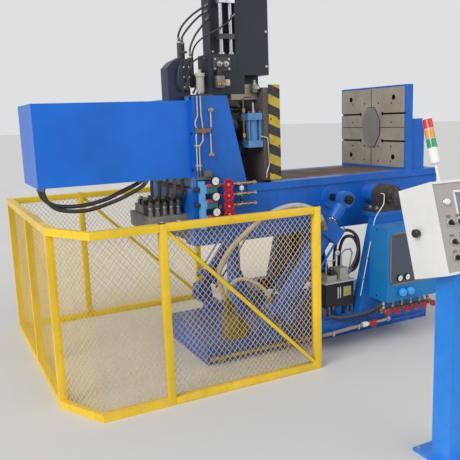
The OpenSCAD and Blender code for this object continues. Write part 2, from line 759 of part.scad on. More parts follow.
module valve_cluster() color("gray") {
    body_l = 290;
    body_h = 110;
    translate([-bed_left - body_l, -330, bed_bottom + 120]) {
        cube([body_l, 480, body_h]);
        for (i = [0:3]) translate([16 + i * 68, 200, body_h]) cube([54, 200, 66]);
        for (i = [0:4]) translate([22 + i * 54, 60, body_h]) {
            cylinder(h = 30, d = 34);
            translate([0, 0, 30]) cylinder(h = 26, d = 24);
        }
        for (i = [0:1]) translate([60 + i * 130, 0, 20]) rotate([90, 0, 0]) cylinder(h = 46, d = 50);
    }
}

module head_valves() color("dimgray") {
    translate([-cheek_x, -half_w + 10, head_z]) cube([165, half_w - 10 - 60, head_plate_t]);
    translate([-cheek_x, 0, head_z + head_plate_t]) {
        translate([0, -230, 0]) cube([80, 150, 260]);
        translate([14, -260, 40]) cube([52, 30, 200]);
        for (i = [0:1]) translate([22 + i * 46, -200 + i * 60, 260]) cylinder(h = 110, d = 36);
        translate([80, -240, 60]) cube([70, 110, 90]);
        translate([95, -220, 150]) cylinder(h = 120, d = 44);
        translate([10, -225, 300]) cube([60, 40, 16]);
    }
}

module head_tank() color("navy") {
    l = 120;
    h = 275;
    translate([-cheek_x - l, -170, cover_z + cover_h]) rotate([90, 0, 0]) linear_extrude(130)
        polygon([[0, 0], [l, 0], [l, h + 35], [45, h], [0, h - 45]]);
}

module moving_platen() color("saddlebrown") {
    translate([-moving_x, -platen_y, platen_z]) cube([moving_t, 2 * platen_y, platen_h]);
    for (s = [-1, 1]) translate([-moving_x, s * 300 - 60, bed_top + 0.3]) cube([moving_t, 120, platen_z - bed_top - 0.3]);
}

module guide_rods() color("silver") {
    for (sy = [-1, 1], sz = [-1, 1])
        translate([-cheek_x - clamp_stroke - 40, sy * guide_y, clamp_z + sz * guide_dz]) rotate([0, 90, 0])
            cylinder(h = cheek_x - moving_x + clamp_stroke + 40, d = guide_d);
}

module clamp_rod() color("silver") {
    translate([-cheek_x - clamp_stroke - 60, 0, clamp_z]) rotate([0, 90, 0])
        cylinder(h = cheek_x - moving_x + clamp_stroke + 60, d = clamp_rod_d);
}

module hazard_guard() color("gold") {
    guard_w = 94;
    translate([moving_right + face_t - guard_w, -platen_y - 8, platen_z]) cube([guard_w, 8, platen_h + 20]);
}

module side_cylinder() color(light_blue) {
    translate([-moving_x - 65, -platen_y + 60, 1610]) {
        cylinder(h = 250, d = 84);
        for (z = [0, 200]) translate([-60, -55, z]) cube([120, 110, 50]);
        for (sx = [-1, 1], sy = [-1, 1]) translate([sx * 46, sy * 42, 50]) cylinder(h = 150, d = 12);
        translate([40, -40, 0]) cube([25, 80, 250]);
    }
}

module core_tower() color([0.16, 0.17, 0.2]) {
    translate([tower_x, -tower_front, tower_z]) cube([tower_w, tower_d, tower_h]);
    translate([tower_x - 160, -250, rod_foot_z]) cube([160, 130, tower_z + tower_h - rod_foot_z]);
}

module core_base() color("dimgray") {
    foot_z = head_z + 10;
    left = -moving_x - 385;
    translate([0, -160, 0]) rotate([90, 0, 0]) linear_extrude(190)
        polygon([[left, foot_z], [-moving_x - 100, foot_z], [-moving_x - 100, tower_z], [tower_x, tower_z],
            [tower_x, rod_foot_z], [left, rod_foot_z]]);
    translate([-moving_x, -200, platen_z + platen_h]) cube([moving_t, 300, tower_z - platen_z - platen_h]);
}

module core_arm() color("rosybrown") {
    foot_z = head_z + 10;
    translate([0, -200, 0]) rotate([90, 0, 0]) linear_extrude(150)
        polygon([[-moving_x - 213, foot_z - 40], [-moving_x, foot_z - 40], [-moving_x, foot_z + 70],
            [-moving_x - 100, foot_z + 70], [-moving_x - 100, foot_z], [-moving_x - 213, foot_z]]);
}

module core_columns() color("silver") {
    top = tower_z + tower_h;
    for (x = core_rods) translate([tower_x + x, -core_y, rod_foot_z]) {
        cylinder(h = top - rod_foot_z, d = core_rod_d);
        cylinder(h = 14, d = core_rod_d + 18);
    }
    for (z = [rod_foot_z + 355, top - 35])
        translate([tower_x - 125, -core_y - 28, z]) cube([125, 60, 35]);
}

module core_carriage() color("dimgray") {
    translate([tower_x - 125, -core_y - 30, rod_foot_z + 107]) difference() {
        cube([115, 60, 35]);
        for (x = core_rods) translate([125 + x, 30, -1]) cylinder(h = 37, r = core_rod_d / 2 + slide_gap);
    }
}

module tilt_place(side) {
    translate([-base_pin_x, side * tilt_y, base_pin_z]) rotate([0, 90 - tilt_angle, 0]) children();
}

module tilt_barrel(side) tilt_place(side) {
    difference() {
        union() {
            rotate([90, 0, 0]) cylinder(h = eye_t, d = eye_d, center = true);
            translate([-40, -eye_t / 2, 0]) cube([80, eye_t, tilt_foot]);
            translate([-tilt_head_w / 2, -tilt_head_w / 2, tilt_foot]) cube([tilt_head_w, tilt_head_w, 70]);
            translate([0, 0, tilt_foot]) cylinder(h = tilt_top - tilt_foot, d = tilt_tube_d);
            translate([-tilt_head_w / 2, -tilt_head_w / 2, tilt_top - tilt_head_l])
                cube([tilt_head_w, tilt_head_w, tilt_head_l]);
            for (sx = [-1, 1], sy = [-1, 1])
                translate([sx * (tilt_head_w / 2 - 14), sy * (tilt_head_w / 2 - 14), tilt_foot])
                    cylinder(h = tilt_top - tilt_foot + 14, d = 18);
        }
        translate([0, 0, tilt_bore_start]) cylinder(h = tilt_top, r = tilt_rod_d / 2 + slide_gap);
    }
    rotate([90, 0, 0]) cylinder(h = eye_t + 2 * lug_t + 30, d = pin_d, center = true);
}
module tilt_barrel_front() color(light_blue) tilt_barrel(-1);
module tilt_barrel_rear() color(light_blue) tilt_barrel(1);

module tilt_rod(side) {
    boss_face = half_w - lip_out + boss_t;
    pin_l = tilt_y - boss_face - run_gap + eye_t / 2 + 18;
    tilt_place(side) {
        translate([0, 0, tilt_rod_tail]) cylinder(h = tilt_len - tilt_rod_tail - eye_d / 2 + 12, d = tilt_rod_d);
        translate([0, 0, tilt_len]) rotate([90, 0, 0]) {
            cylinder(h = eye_t, d = eye_d, center = true);
            translate([0, 0, -side * (eye_t / 2 + 18 - pin_l / 2)]) cylinder(h = pin_l, d = pin_d, center = true);
        }
    }
}
module tilt_rod_front() color("silver") tilt_rod(-1);
module tilt_rod_rear() color("silver") tilt_rod(1);

base_frame();
base_outrigger();
stand_front();
stand_rear();
bearing_front();
bearing_rear();
rest_post();
cylinder_lugs();
pump_block();
hydraulic_unit();
cabinet();
cabinet_door();
cabinet_valves();
console_stand();
console_box();
console_panel();
signal_tower();
fence_front_frame();
fence_corner_frame();
fence_left_frame();
fence_rear_frame();
fence_front_mesh();
fence_corner_mesh();
fence_left_mesh();
fence_rear_mesh();
bed_girder_front();
bed_girder_rear();
bed_deck();
bed_crossbeams();
trunnions();
cheek_front();
cheek_rear();
rear_platen();
cylinder_cover();
clamp_barrel();
fixed_platen();
fixed_face();
hex_insert();
platen_buttress();
water_manifold();
manifold_wheels();
lube_tubes();
valve_cluster();
head_valves();
head_tank();
moving_platen();
moving_face();
guide_rods();
clamp_rod();
hazard_guard();
side_cylinder();
core_tower();
core_base();
core_arm();
core_columns();
core_carriage();
tilt_barrel_front();
tilt_barrel_rear();
tilt_rod_front();
tilt_rod_rear();
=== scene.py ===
# %% [markdown]
# # A tilting die casting machine
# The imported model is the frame: every steel part is already there at its real size, in metres.
# This lesson dresses it. It sets the camera where the photograph was taken, gives each part the
# finish that a foundry machine has, and adds the small pieces that make it look used.

# %% Load the frame
import math

import bmesh
import bpy
from mathutils import Matrix, Vector


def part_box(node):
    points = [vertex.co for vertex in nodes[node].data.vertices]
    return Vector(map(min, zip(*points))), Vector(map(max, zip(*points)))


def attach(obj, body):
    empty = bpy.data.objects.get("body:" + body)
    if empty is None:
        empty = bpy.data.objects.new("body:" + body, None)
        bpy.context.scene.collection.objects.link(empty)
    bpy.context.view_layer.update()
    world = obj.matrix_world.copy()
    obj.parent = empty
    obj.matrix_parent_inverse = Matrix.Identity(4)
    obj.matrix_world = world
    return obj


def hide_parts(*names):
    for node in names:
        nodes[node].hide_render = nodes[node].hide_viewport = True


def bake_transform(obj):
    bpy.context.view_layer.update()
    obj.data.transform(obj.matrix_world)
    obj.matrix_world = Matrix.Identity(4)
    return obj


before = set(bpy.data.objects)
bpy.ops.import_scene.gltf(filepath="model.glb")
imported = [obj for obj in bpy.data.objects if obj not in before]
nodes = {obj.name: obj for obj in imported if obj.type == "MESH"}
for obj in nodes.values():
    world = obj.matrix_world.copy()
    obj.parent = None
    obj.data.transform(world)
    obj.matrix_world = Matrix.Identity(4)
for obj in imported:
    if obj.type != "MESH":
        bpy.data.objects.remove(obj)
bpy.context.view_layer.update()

# %% [markdown]
# ## The camera
# The photograph was taken left of the machine at eye height, looking a little down, with the
# camera slightly tilted. The three angles and the place were solved from the parallel edges of
# the bed and the fence, so the picture lines up with no fitting by eye.

# %% Place the camera
eye = Vector((-3.285, -4.427, 1.825))
turn, look_down, roll = math.radians(26.37), math.radians(10.33), math.radians(-2.08)
forward = Vector((math.sin(turn) * math.cos(look_down), math.cos(turn) * math.cos(look_down),
                  -math.sin(look_down)))
level_right = Vector((math.cos(turn), -math.sin(turn), 0))
level_up = level_right.cross(forward)
right = math.cos(roll) * level_right + math.sin(roll) * level_up
up = math.cos(roll) * level_up - math.sin(roll) * level_right
bpy.ops.object.camera_add()
camera = bpy.context.object
camera.matrix_world = Matrix.Translation(eye) @ Matrix((right, up, -forward)).transposed().to_4x4()
camera.data.sensor_width, camera.data.lens = 36, 47.75
bpy.context.scene.camera = camera
print("camera at", [round(v, 3) for v in eye])

# %% [markdown]
# ## Shader helpers
# A finish is a small tree of nodes. Writing every node by hand gets long, so `add` makes one
# node with its settings and wires, `blend` mixes two colours, and `grade` stretches a value
# into a mask. Patterns read Object coordinates, which here are plain metres on the machine.


# %% Make nodes with few words
def add(tree, kind, inputs=None, **settings):
    made = tree.nodes.new("ShaderNode" + kind)
    for name, value in settings.items():
        setattr(made, name, value)
    for name, value in (inputs or {}).items():
        if isinstance(value, bpy.types.NodeSocket):
            tree.links.new(value, made.inputs[name])
        else:
            made.inputs[name].default_value = value
    return made


def blend(tree, factor, first, second, mode="MIX"):
    made = add(tree, "Mix", data_type="RGBA", blend_type=mode)
    for place, value in ((0, factor), (6, first), (7, second)):
        if isinstance(value, bpy.types.NodeSocket):
            tree.links.new(value, made.inputs[place])
        else:
            made.inputs[place].default_value = value if place == 0 else (*value, 1)
    return made.outputs[2]


def grade(tree, value, low, high, out_low=0.0, out_high=1.0):
    made = add(tree, "MapRange", {"Value": value, "From Min": low, "From Max": high,
                                  "To Min": out_low, "To Max": out_high})
    return made.outputs["Result"]


def times(tree, first, second, operation="MULTIPLY"):
    made = add(tree, "Math", {0: first, 1: second}, operation=operation)
    return made.outputs[0]


def noise(tree, where, scale, detail=4.0, rough=0.55):
    made = add(tree, "TexNoise", {"Vector": where, "Scale": scale, "Detail": detail, "Roughness": rough})
    return made.outputs["Fac"]


print("node helpers ready")

# %% [markdown]
# ## Masks and bump
# Wear needs masks: an edge mask for chipped paint, and a box mask for a casting that is painted
# in one colour and fitted with brass in another. Both come from the shape or from plain metres
# on the machine, so they stay put when the machine moves.


# %% Start a finish, and mask edges and boxes
def start(name):
    made = bpy.data.materials.new(name)
    made.use_nodes = True
    tree = made.node_tree
    where = add(tree, "TexCoord").outputs["Object"]
    return made, tree, tree.nodes["Principled BSDF"], where


def stretched(tree, where, scale):
    return add(tree, "Mapping", {"Vector": where, "Scale": scale}).outputs["Vector"]


def bump(tree, shader, height, distance, strength=1.0):
    made = add(tree, "Bump", {"Height": height, "Distance": distance, "Strength": strength})
    tree.links.new(made.outputs["Normal"], shader.inputs["Normal"])


def edges(tree, radius):
    """A mask that is 1 on sharp edges: there the rounded normal leans away from the true one."""
    rounded = add(tree, "Bevel", {"Radius": radius}, samples=4).outputs["Normal"]
    flat = add(tree, "NewGeometry").outputs["Normal"]
    lean = add(tree, "VectorMath", {0: rounded, 1: flat}, operation="DOT_PRODUCT").outputs["Value"]
    return grade(tree, lean, 0.99, 0.86)


def within(tree, where, limits):
    """A mask that is 1 inside a box. limits says, for each axis, the low and high end in metres."""
    axes = add(tree, "SeparateXYZ", {"Vector": where}).outputs
    mask = None
    for axis, (low, high) in limits.items():
        for bound, operation in ((low, "GREATER_THAN"), (high, "LESS_THAN")):
            if bound is None:
                continue
            side = times(tree, axes[axis], bound, operation)
            mask = side if mask is None else times(tree, mask, side)
    return mask


print("masks ready")

# %% [markdown]
# ## Painted steel
# Nearly everything is sprayed with gloss enamel. Real enamel isn't one colour: it has drifted
# tones, hand grime and oily smears, dust on what faces up and near the floor, and bare chips
# along edges. One function gives every paint these layers, and each colour sets how strong
# they are. A stack of masks over one base colour is the usual way to build such a surface.
# `zones` recolours boxes of the same part, for pieces that are painted and fitted together.


# %% Gloss enamel
def enamel(name, colour, rough=0.3, wear=0.5, grime=0.35, dust=0.24, under=(0.20, 0.17, 0.14), zones=()):
    made, tree, shader, where = start(name)
    dark = tuple(0.80 * c for c in colour)
    lit = tuple(min(1.0, 1.06 * c + 0.006) for c in colour)
    tone = blend(tree, grade(tree, noise(tree, where, 1.7), 0.3, 0.7), dark, lit)
    metal = None
    for limits, zone_colour, metallic in zones:
        mask = within(tree, where, limits)
        tone = blend(tree, mask, tone, zone_colour)
        if metallic:
            share = times(tree, mask, metallic)
            metal = share if metal is None else times(tree, metal, share, "MAXIMUM")
    if metal is not None:
        tree.links.new(metal, shader.inputs["Metallic"])
    smear = noise(tree, stretched(tree, where, (9, 9, 2.5)), 1.6, 8, 0.62)
    smear = grade(tree, smear, 0.52, 0.78, 0.0, grime)
    tone = blend(tree, smear, tone, (0.045, 0.040, 0.034))
    normal = add(tree, "SeparateXYZ", {"Vector": add(tree, "NewGeometry").outputs["Normal"]}).outputs["Z"]
    height = add(tree, "SeparateXYZ", {"Vector": where}).outputs["Z"]
    speckle = noise(tree, where, 22, 7, 0.6)
    lying = times(tree, grade(tree, normal, 0.35, 0.95), grade(tree, speckle, 0.35, 0.68))
    low = times(tree, grade(tree, height, 0.40, 0.0), grade(tree, speckle, 0.42, 0.75))
    dusty = times(tree, times(tree, lying, low, "MAXIMUM"), dust)
    tone = blend(tree, dusty, tone, (0.36, 0.33, 0.29))
    chips = times(tree, edges(tree, 0.005), grade(tree, noise(tree, where, 31, 6, 0.7), 0.50, 0.62))
    chips = times(tree, chips, wear)
    tone = blend(tree, chips, tone, under)
    tree.links.new(tone, shader.inputs["Base Color"])
    matt = times(tree, times(tree, smear, dusty, "MAXIMUM"), chips, "MAXIMUM")
    tree.links.new(grade(tree, matt, 0.0, 0.6, rough, 0.72), shader.inputs["Roughness"])
    skin = times(tree, noise(tree, where, 190, 2), times(tree, chips, 2.2), "SUBTRACT")
    bump(tree, shader, skin, 0.0004, 0.5)
    shader.inputs["Specular IOR Level"].default_value = 0.30
    shader.inputs["Coat Weight"].default_value = 0.05
    shader.inputs["Coat Roughness"].default_value = 0.12
    return made


cover_blue = enamel("cover_blue", (0.002, 0.150, 0.680), rough=0.34, wear=0.35, grime=0.10, dust=0.14)
frame_blue = enamel("frame_blue", (0.003, 0.120, 0.520), wear=0.7, grime=0.38)
stand_blue = enamel("stand_blue", (0.003, 0.130, 0.480), wear=0.7, grime=0.42, dust=0.34)
bright_blue = enamel("bright_blue", (0.020, 0.260, 0.840), wear=0.45, grime=0.22)
pale_blue = enamel("pale_blue", (0.085, 0.240, 0.500), wear=0.6, grime=0.35)
cabinet_blue = enamel("cabinet_blue", (0.006, 0.185, 0.480), rough=0.38, wear=0.4, grime=0.22)
guard_yellow = enamel("guard_yellow", (0.880, 0.590, 0.022), wear=0.4, grime=0.18, dust=0.22)
mesh_yellow = enamel("mesh_yellow", (0.800, 0.530, 0.040), rough=0.42, wear=0.0, grime=0.30, dust=0.1)
charcoal = enamel("charcoal", (0.018, 0.023, 0.036), rough=0.45, wear=0.3, grime=0.2, dust=0.3)
navy = enamel("navy", (0.016, 0.020, 0.060), rough=0.35, wear=0.35, grime=0.2, dust=0.25)
ivory = enamel("ivory", (0.800, 0.795, 0.770), rough=0.4, wear=0.12, grime=0.08, dust=0.1)
panel_grey = enamel("panel_grey", (0.430, 0.395, 0.370), rough=0.45, wear=0.15, grime=0.12, dust=0.1)
wheel_red = enamel("wheel_red", (0.520, 0.008, 0.020), rough=0.28, wear=0.35, grime=0.2, dust=0.1)
print("enamels made:", len([m for m in bpy.data.materials if m.use_nodes]))

# %% [markdown]
# ## Parts with two or three colours
# Some parts of the frame are one assembly in several finishes: the water manifold is a pale
# blue block with teal regulators, red bars and brass pipes, the air cabinet's valve row has a
# brown bar, cream pipes and red discs, and the power unit is a black tank under a pale plate.
# The zones are read off the frame's own boxes, so they move with the part if it is changed.

# %% Zoned paints
manifold_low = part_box("water_manifold")[0]
manifold_rows = (1.174, 1.285, 1.396)
block_right = manifold_low[0] + 0.036
pipes_left = manifold_low[0] + 0.124
regulator_bars = [({"X": (block_right, block_right + 0.062), "Y": (None, -0.474),
                    "Z": (z - 0.0385, z - 0.0235)}, (0.560, 0.075, 0.110), 0.0) for z in manifold_rows]
manifold_paint = enamel("manifold_paint", (0.060, 0.185, 0.215), wear=0.4, grime=0.25, dust=0.2, zones=[
    ({"X": (None, block_right)}, (0.130, 0.390, 0.740), 0.0),
    *regulator_bars,
    ({"X": (pipes_left, None)}, (0.480, 0.330, 0.130), 0.85)])
valves_low, valves_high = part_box("cabinet_valves")
cream, bar_brown = (0.560, 0.520, 0.420), (0.170, 0.085, 0.045)
valve_paint = enamel("valve_paint", (0.470, 0.012, 0.030), wear=0.3, grime=0.3, dust=0.2, zones=[
    ({"Y": (valves_low[1] + 0.016, None)}, cream, 0.35),
    ({"Y": (valves_low[1] + 0.040, None), "Z": (None, valves_low[2] + 0.041)}, bar_brown, 0.2)])
unit_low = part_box("hydraulic_unit")[0]
plate_z = unit_low[2] + 0.270
unit_paint = enamel("unit_paint", (0.012, 0.012, 0.017), wear=0.4, grime=0.12, dust=0.4, zones=[
    ({"Z": (plate_z, plate_z + 0.0105)}, (0.500, 0.490, 0.430), 0.0),
    ({"Z": (plate_z + 0.0105, plate_z + 0.1005)}, (0.440, 0.440, 0.350), 0.0),
    ({"Z": (plate_z + 0.1005, None)}, (0.520, 0.510, 0.480), 0.8),
    ({"Z": (None, unit_low[2] + 0.075)}, (0.100, 0.160, 0.330), 0.0)])
print("zoned paints for", [n for n in ("water_manifold", "cabinet_valves", "hydraulic_unit") if n in nodes])

# %% [markdown]
# ## Bare metals
# The platens' faces are milled steel with oil stains and the marks of the cutter, the deck is
# brown with rust, the bearing housings are raw castings and the rods are hard chrome. Each is
# a metal or near-metal shader, and differs by what lies on it: stains, rust, pits or smudges.


# %% Machined and rusty steel
def machined(name, colour, stain, rough=0.45, lay=(3, 3, 220), rust=0.35, shade_boxes=()):
    """Milled steel. The listed boxes, such as slots, are painted near-black inside as painted shade."""
    made, tree, shader, where = start(name)
    cloud = grade(tree, noise(tree, where, 3.2, 9, 0.62), 0.34, 0.68)
    tone = blend(tree, cloud, colour, stain)
    spots = grade(tree, noise(tree, where, 26, 8, 0.7), 0.60, 0.72, 0.0, rust)
    tone = blend(tree, spots, tone, (0.105, 0.062, 0.038))
    lines = noise(tree, stretched(tree, where, lay), 4, 3)
    tone = blend(tree, grade(tree, lines, 0.35, 0.75, 0.0, 0.22), tone, tuple(0.55 * c for c in colour))
    for limits in shade_boxes:
        # painted shade: everything inside these boxes (slot walls, slot bottoms and bores) is painted
        # near-black
        tone = blend(tree, within(tree, where, limits), tone, (0.018, 0.015, 0.012))
    tree.links.new(tone, shader.inputs["Base Color"])
    shader.inputs["Metallic"].default_value = 0.45
    tree.links.new(grade(tree, cloud, 0, 1, rough, rough + 0.2), shader.inputs["Roughness"])
    bump(tree, shader, lines, 0.0003, 0.6)
    return made


def rusty(name, steel, rust, share=0.5):
    made, tree, shader, where = start(name)
    patches = grade(tree, noise(tree, where, 4.5, 10, 0.66), share - 0.12, share + 0.12)
    grains = noise(tree, where, 60, 6, 0.7)
    brown = blend(tree, grains, tuple(0.5 * c for c in rust), rust)
    tone = blend(tree, patches, steel, brown)
    scuffs = grade(tree, noise(tree, stretched(tree, where, (2, 14, 14)), 5, 6), 0.6, 0.75, 0, 0.6)
    tone = blend(tree, scuffs, tone, tuple(min(1, 1.5 * c) for c in steel))
    tree.links.new(tone, shader.inputs["Base Color"])
    shader.inputs["Metallic"].default_value = 0.25
    tree.links.new(grade(tree, patches, 0, 1, 0.5, 0.85), shader.inputs["Roughness"])
    bump(tree, shader, grains, 0.0008, 0.7)
    return made


face_low, face_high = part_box("fixed_face")
moving_low, moving_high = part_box("moving_face")
skin, rim = 0.0015, 0.004
# the slots and bores of both faces, from 1.5 mm below the milled face inwards, get painted shade
slot_shade_boxes = [{"X": ends, "Y": (face_low[1] + rim, face_high[1] - rim),
          "Z": (face_low[2] + rim, face_high[2] - rim)}
         for ends in ((face_low[0] + skin, face_high[0]), (moving_low[0], moving_high[0] - skin))]
plate_steel = machined("plate_steel", (0.440, 0.395, 0.345), (0.330, 0.280, 0.205), shade_boxes=slot_shade_boxes)
arm_steel = machined("arm_steel", (0.400, 0.355, 0.310), (0.290, 0.245, 0.180))
insert_steel = machined("insert_steel", (0.275, 0.270, 0.275), (0.215, 0.210, 0.212), rough=0.4, rust=0.1)
deck_steel = rusty("deck_steel", (0.150, 0.115, 0.090), (0.190, 0.110, 0.060), 0.48)
platen_brown = rusty("platen_brown", (0.110, 0.090, 0.088), (0.130, 0.078, 0.060), 0.5)
print("milled and rusty steel made")


# %% Cast and polished metal
def casting(name, colour, rub, oil=0.4):
    made, tree, shader, where = start(name)
    pits = noise(tree, where, 130, 5, 0.7)
    tone = blend(tree, grade(tree, noise(tree, where, 9, 6), 0.35, 0.7), colour,
                 tuple(1.8 * c for c in colour))
    tone = blend(tree, times(tree, edges(tree, 0.008), grade(tree, pits, 0.4, 0.6)), tone, rub)
    tree.links.new(tone, shader.inputs["Base Color"])
    shader.inputs["Metallic"].default_value = 0.3
    wet = grade(tree, noise(tree, where, 6, 4), 0.4, 0.65)
    tree.links.new(grade(tree, wet, 0, 1, 0.68, 0.68 - oil), shader.inputs["Roughness"])
    bump(tree, shader, pits, 0.0012, 0.55)
    return made


def polished(name, colour, rough=0.14, smudge=0.25):
    made, tree, shader, where = start(name)
    film = grade(tree, noise(tree, stretched(tree, where, (1, 1, 0.4)), 14, 6), 0.4, 0.7)
    tone = blend(tree, film, colour, tuple(0.72 * c for c in colour))
    tree.links.new(tone, shader.inputs["Base Color"])
    shader.inputs["Metallic"].default_value = 1.0
    tree.links.new(grade(tree, film, 0, 1, rough, rough + smudge), shader.inputs["Roughness"])
    bump(tree, shader, noise(tree, where, 420, 2), 0.0001, 0.4)
    return made


housing_iron = casting("housing_iron", (0.042, 0.033, 0.030), (0.15, 0.11, 0.085))
machine_iron = casting("machine_iron", (0.040, 0.038, 0.042), (0.14, 0.13, 0.12), 0.35)
valve_grey = casting("valve_grey", (0.150, 0.142, 0.135), (0.34, 0.33, 0.31), 0.35)
block_iron = casting("block_iron", (0.150, 0.130, 0.100), (0.28, 0.25, 0.20), 0.2)
dark_steel = polished("dark_steel", (0.200, 0.195, 0.195), 0.34)
chrome = polished("chrome", (0.560, 0.570, 0.590), 0.18)
zinc = polished("zinc", (0.600, 0.590, 0.560), 0.30)
dull_steel = polished("dull_steel", (0.260, 0.250, 0.240), 0.40)
brass = polished("brass", (0.600, 0.400, 0.140), 0.26)
black_steel = polished("black_steel", (0.045, 0.043, 0.042), 0.38)
print("cast and polished metals made")

# %% [markdown]
# ## Plastics, rubber, glass and dials
# The small fittings are plastic, rubber and glass. They are smoother than enamel and hold less
# dirt, so one short function with a clouded tone and a fine grain serves them all, and gloss
# and colour tell them apart.


# %% Plastic, rubber and glass
def moulded(name, colour, rough, grain=260, depth=0.0002, dirt=0.2, gloss=0.0):
    made, tree, shader, where = start(name)
    cloud = grade(tree, noise(tree, where, 12, 6, 0.6), 0.42, 0.72, 0.0, dirt)
    tone = blend(tree, cloud, colour, (0.060, 0.052, 0.044))
    tree.links.new(tone, shader.inputs["Base Color"])
    tree.links.new(grade(tree, cloud, 0, max(dirt, 0.01), rough, min(0.9, rough + 0.25)),
                   shader.inputs["Roughness"])
    shader.inputs["Coat Weight"].default_value = gloss
    bump(tree, shader, noise(tree, where, grain, 3), depth, 0.5)
    return made


dial_white = moulded("dial_white", (0.820, 0.810, 0.770), 0.3, dirt=0.12, gloss=0.6)
ink = moulded("ink", (0.015, 0.015, 0.018), 0.5, dirt=0.1)
white_plastic = moulded("white_plastic", (0.800, 0.790, 0.760), 0.35, dirt=0.15)
black_plastic = moulded("black_plastic", (0.018, 0.018, 0.020), 0.32, dirt=0.15)
blue_plastic = moulded("blue_plastic", (0.050, 0.330, 0.750), 0.3, dirt=0.1)
beige_plastic = moulded("beige_plastic", (0.560, 0.500, 0.400), 0.5, dirt=0.3)
seal_brown = moulded("seal_brown", (0.240, 0.170, 0.120), 0.6, dirt=0.3)
plate_yellow = moulded("plate_yellow", (0.420, 0.390, 0.130), 0.45, dirt=0.25)
window_glass = moulded("window_glass", (0.030, 0.042, 0.080), 0.08, 40, 0.0004, 0.35, 0.8)
screen_glass = moulded("screen_glass", (0.150, 0.180, 0.230), 0.12, 60, 0.0001, 0.15, 0.5)
lens_red = moulded("lens_red", (0.640, 0.020, 0.020), 0.16, dirt=0.06, gloss=0.7)
lens_amber = moulded("lens_amber", (0.760, 0.300, 0.020), 0.16, dirt=0.06, gloss=0.7)
lens_green = moulded("lens_green", (0.020, 0.300, 0.120), 0.16, dirt=0.06, gloss=0.7)
hose_black = moulded("hose_black", (0.024, 0.024, 0.028), 0.42, 120, 0.0006, 0.45)
hose_beige = moulded("hose_beige", (0.430, 0.385, 0.345), 0.6, 90, 0.0008, 0.35)
hose_brown = moulded("hose_brown", (0.110, 0.070, 0.048), 0.55, 110, 0.0006, 0.4)
pipe_tan = moulded("pipe_tan", (0.330, 0.270, 0.200), 0.5, 70, 0.0004, 0.3)
print("finishes so far:", len([m for m in bpy.data.materials if m.use_nodes]))

# %% [markdown]
# ## Striped guard plate
# The edge of the moving platen carries a plate in black and yellow stripes, the common mark of
# a crushing place. The stripes fall to the right at a set pitch, so they are worked out from
# the metres along the plate instead of being painted as a picture.


# %% Hazard stripes
def hazard(name, pitch, slope):
    made, tree, shader, where = start(name)
    axes = add(tree, "SeparateXYZ", {"Vector": where}).outputs
    ragged = grade(tree, noise(tree, where, 45, 4), 0, 1, -0.004, 0.004)
    along = times(tree, axes["Z"], times(tree, axes["X"], slope), "ADD")
    place = times(tree, times(tree, along, ragged, "ADD"), pitch, "DIVIDE")
    stripe = grade(tree, times(tree, place, 1.0, "FLOORED_MODULO"), 0.48, 0.52)
    tone = blend(tree, stripe, (0.020, 0.020, 0.022), (0.520, 0.380, 0.025))
    dirt = grade(tree, noise(tree, where, 18, 8, 0.65), 0.48, 0.75, 0.0, 0.55)
    tone = blend(tree, dirt, tone, (0.085, 0.072, 0.055))
    tree.links.new(tone, shader.inputs["Base Color"])
    tree.links.new(grade(tree, dirt, 0, 0.5, 0.42, 0.75), shader.inputs["Roughness"])
    bump(tree, shader, noise(tree, where, 90, 3), 0.0005, 0.4)
    return made


hazard_paint = hazard("hazard_paint", 0.145, 0.42)
print("stripes every 145 mm")

# %% [markdown]
# ## Eye and rod, tubes and blocks
# A cylinder's rod is chromed but its eye is painted, and the grease tubes on the cheek run into
# small brown blocks. The eye is told from the rod by its distance from the pin, which is one
# more mask over a base colour.


# %% Rod with a painted eye
def painted_eye(name, pin_x, pin_z, reach):
    made, tree, shader, where = start(name)
    axes = add(tree, "SeparateXYZ", {"Vector": where}).outputs
    across = times(tree, times(tree, axes["X"], pin_x, "SUBTRACT"), 2.0, "POWER")
    rise = times(tree, times(tree, axes["Z"], pin_z, "SUBTRACT"), 2.0, "POWER")
    away = times(tree, times(tree, across, rise, "ADD"), 0.5, "POWER")
    on_eye = times(tree, away, reach, "LESS_THAN")
    on_pin = times(tree, away, 0.0305, "LESS_THAN")
    film = grade(tree, noise(tree, where, 14, 6), 0.4, 0.7)
    bare = blend(tree, film, (0.700, 0.705, 0.720), (0.500, 0.500, 0.505))
    paint = blend(tree, grade(tree, noise(tree, where, 24, 7), 0.55, 0.7), (0.010, 0.120, 0.450),
                  (0.060, 0.055, 0.050))
    tone = blend(tree, on_eye, bare, paint)
    tone = blend(tree, on_pin, tone, (0.090, 0.082, 0.076))
    tree.links.new(tone, shader.inputs["Base Color"])
    steel = times(tree, on_eye, -1.0, "MULTIPLY_ADD")
    steel.node.inputs[2].default_value = 1.0
    tree.links.new(times(tree, steel, on_pin, "MAXIMUM"), shader.inputs["Metallic"])
    tree.links.new(times(tree, grade(tree, on_eye, 0, 1, 0.16, 0.38), times(tree, on_pin, 0.3), "MAXIMUM"),
                   shader.inputs["Roughness"])
    bump(tree, shader, noise(tree, where, 200, 2), 0.0002, 0.4)
    return made


rod_pin = Vector((-0.393, 0.0, 1.180))
eye_paint = painted_eye("eye_paint", rod_pin.x, rod_pin.z, 0.068)
tube_paint = enamel("tube_paint", (0.520, 0.500, 0.460), rough=0.3, wear=0.2, grime=0.3, dust=0.1, zones=[
    ({"Z": (1.727, 1.771)}, (0.210, 0.130, 0.070), 0.0),
    ({"Z": (None, 1.470)}, (0.150, 0.130, 0.115), 0.0)])
print("rod and tube finishes made")

# %% [markdown]
# ## Finishes for the frame's own parts
# The parts that came with the frame keep their shape; they only get a material in their slot.
# One table says which finish goes where, so nothing is forgotten.

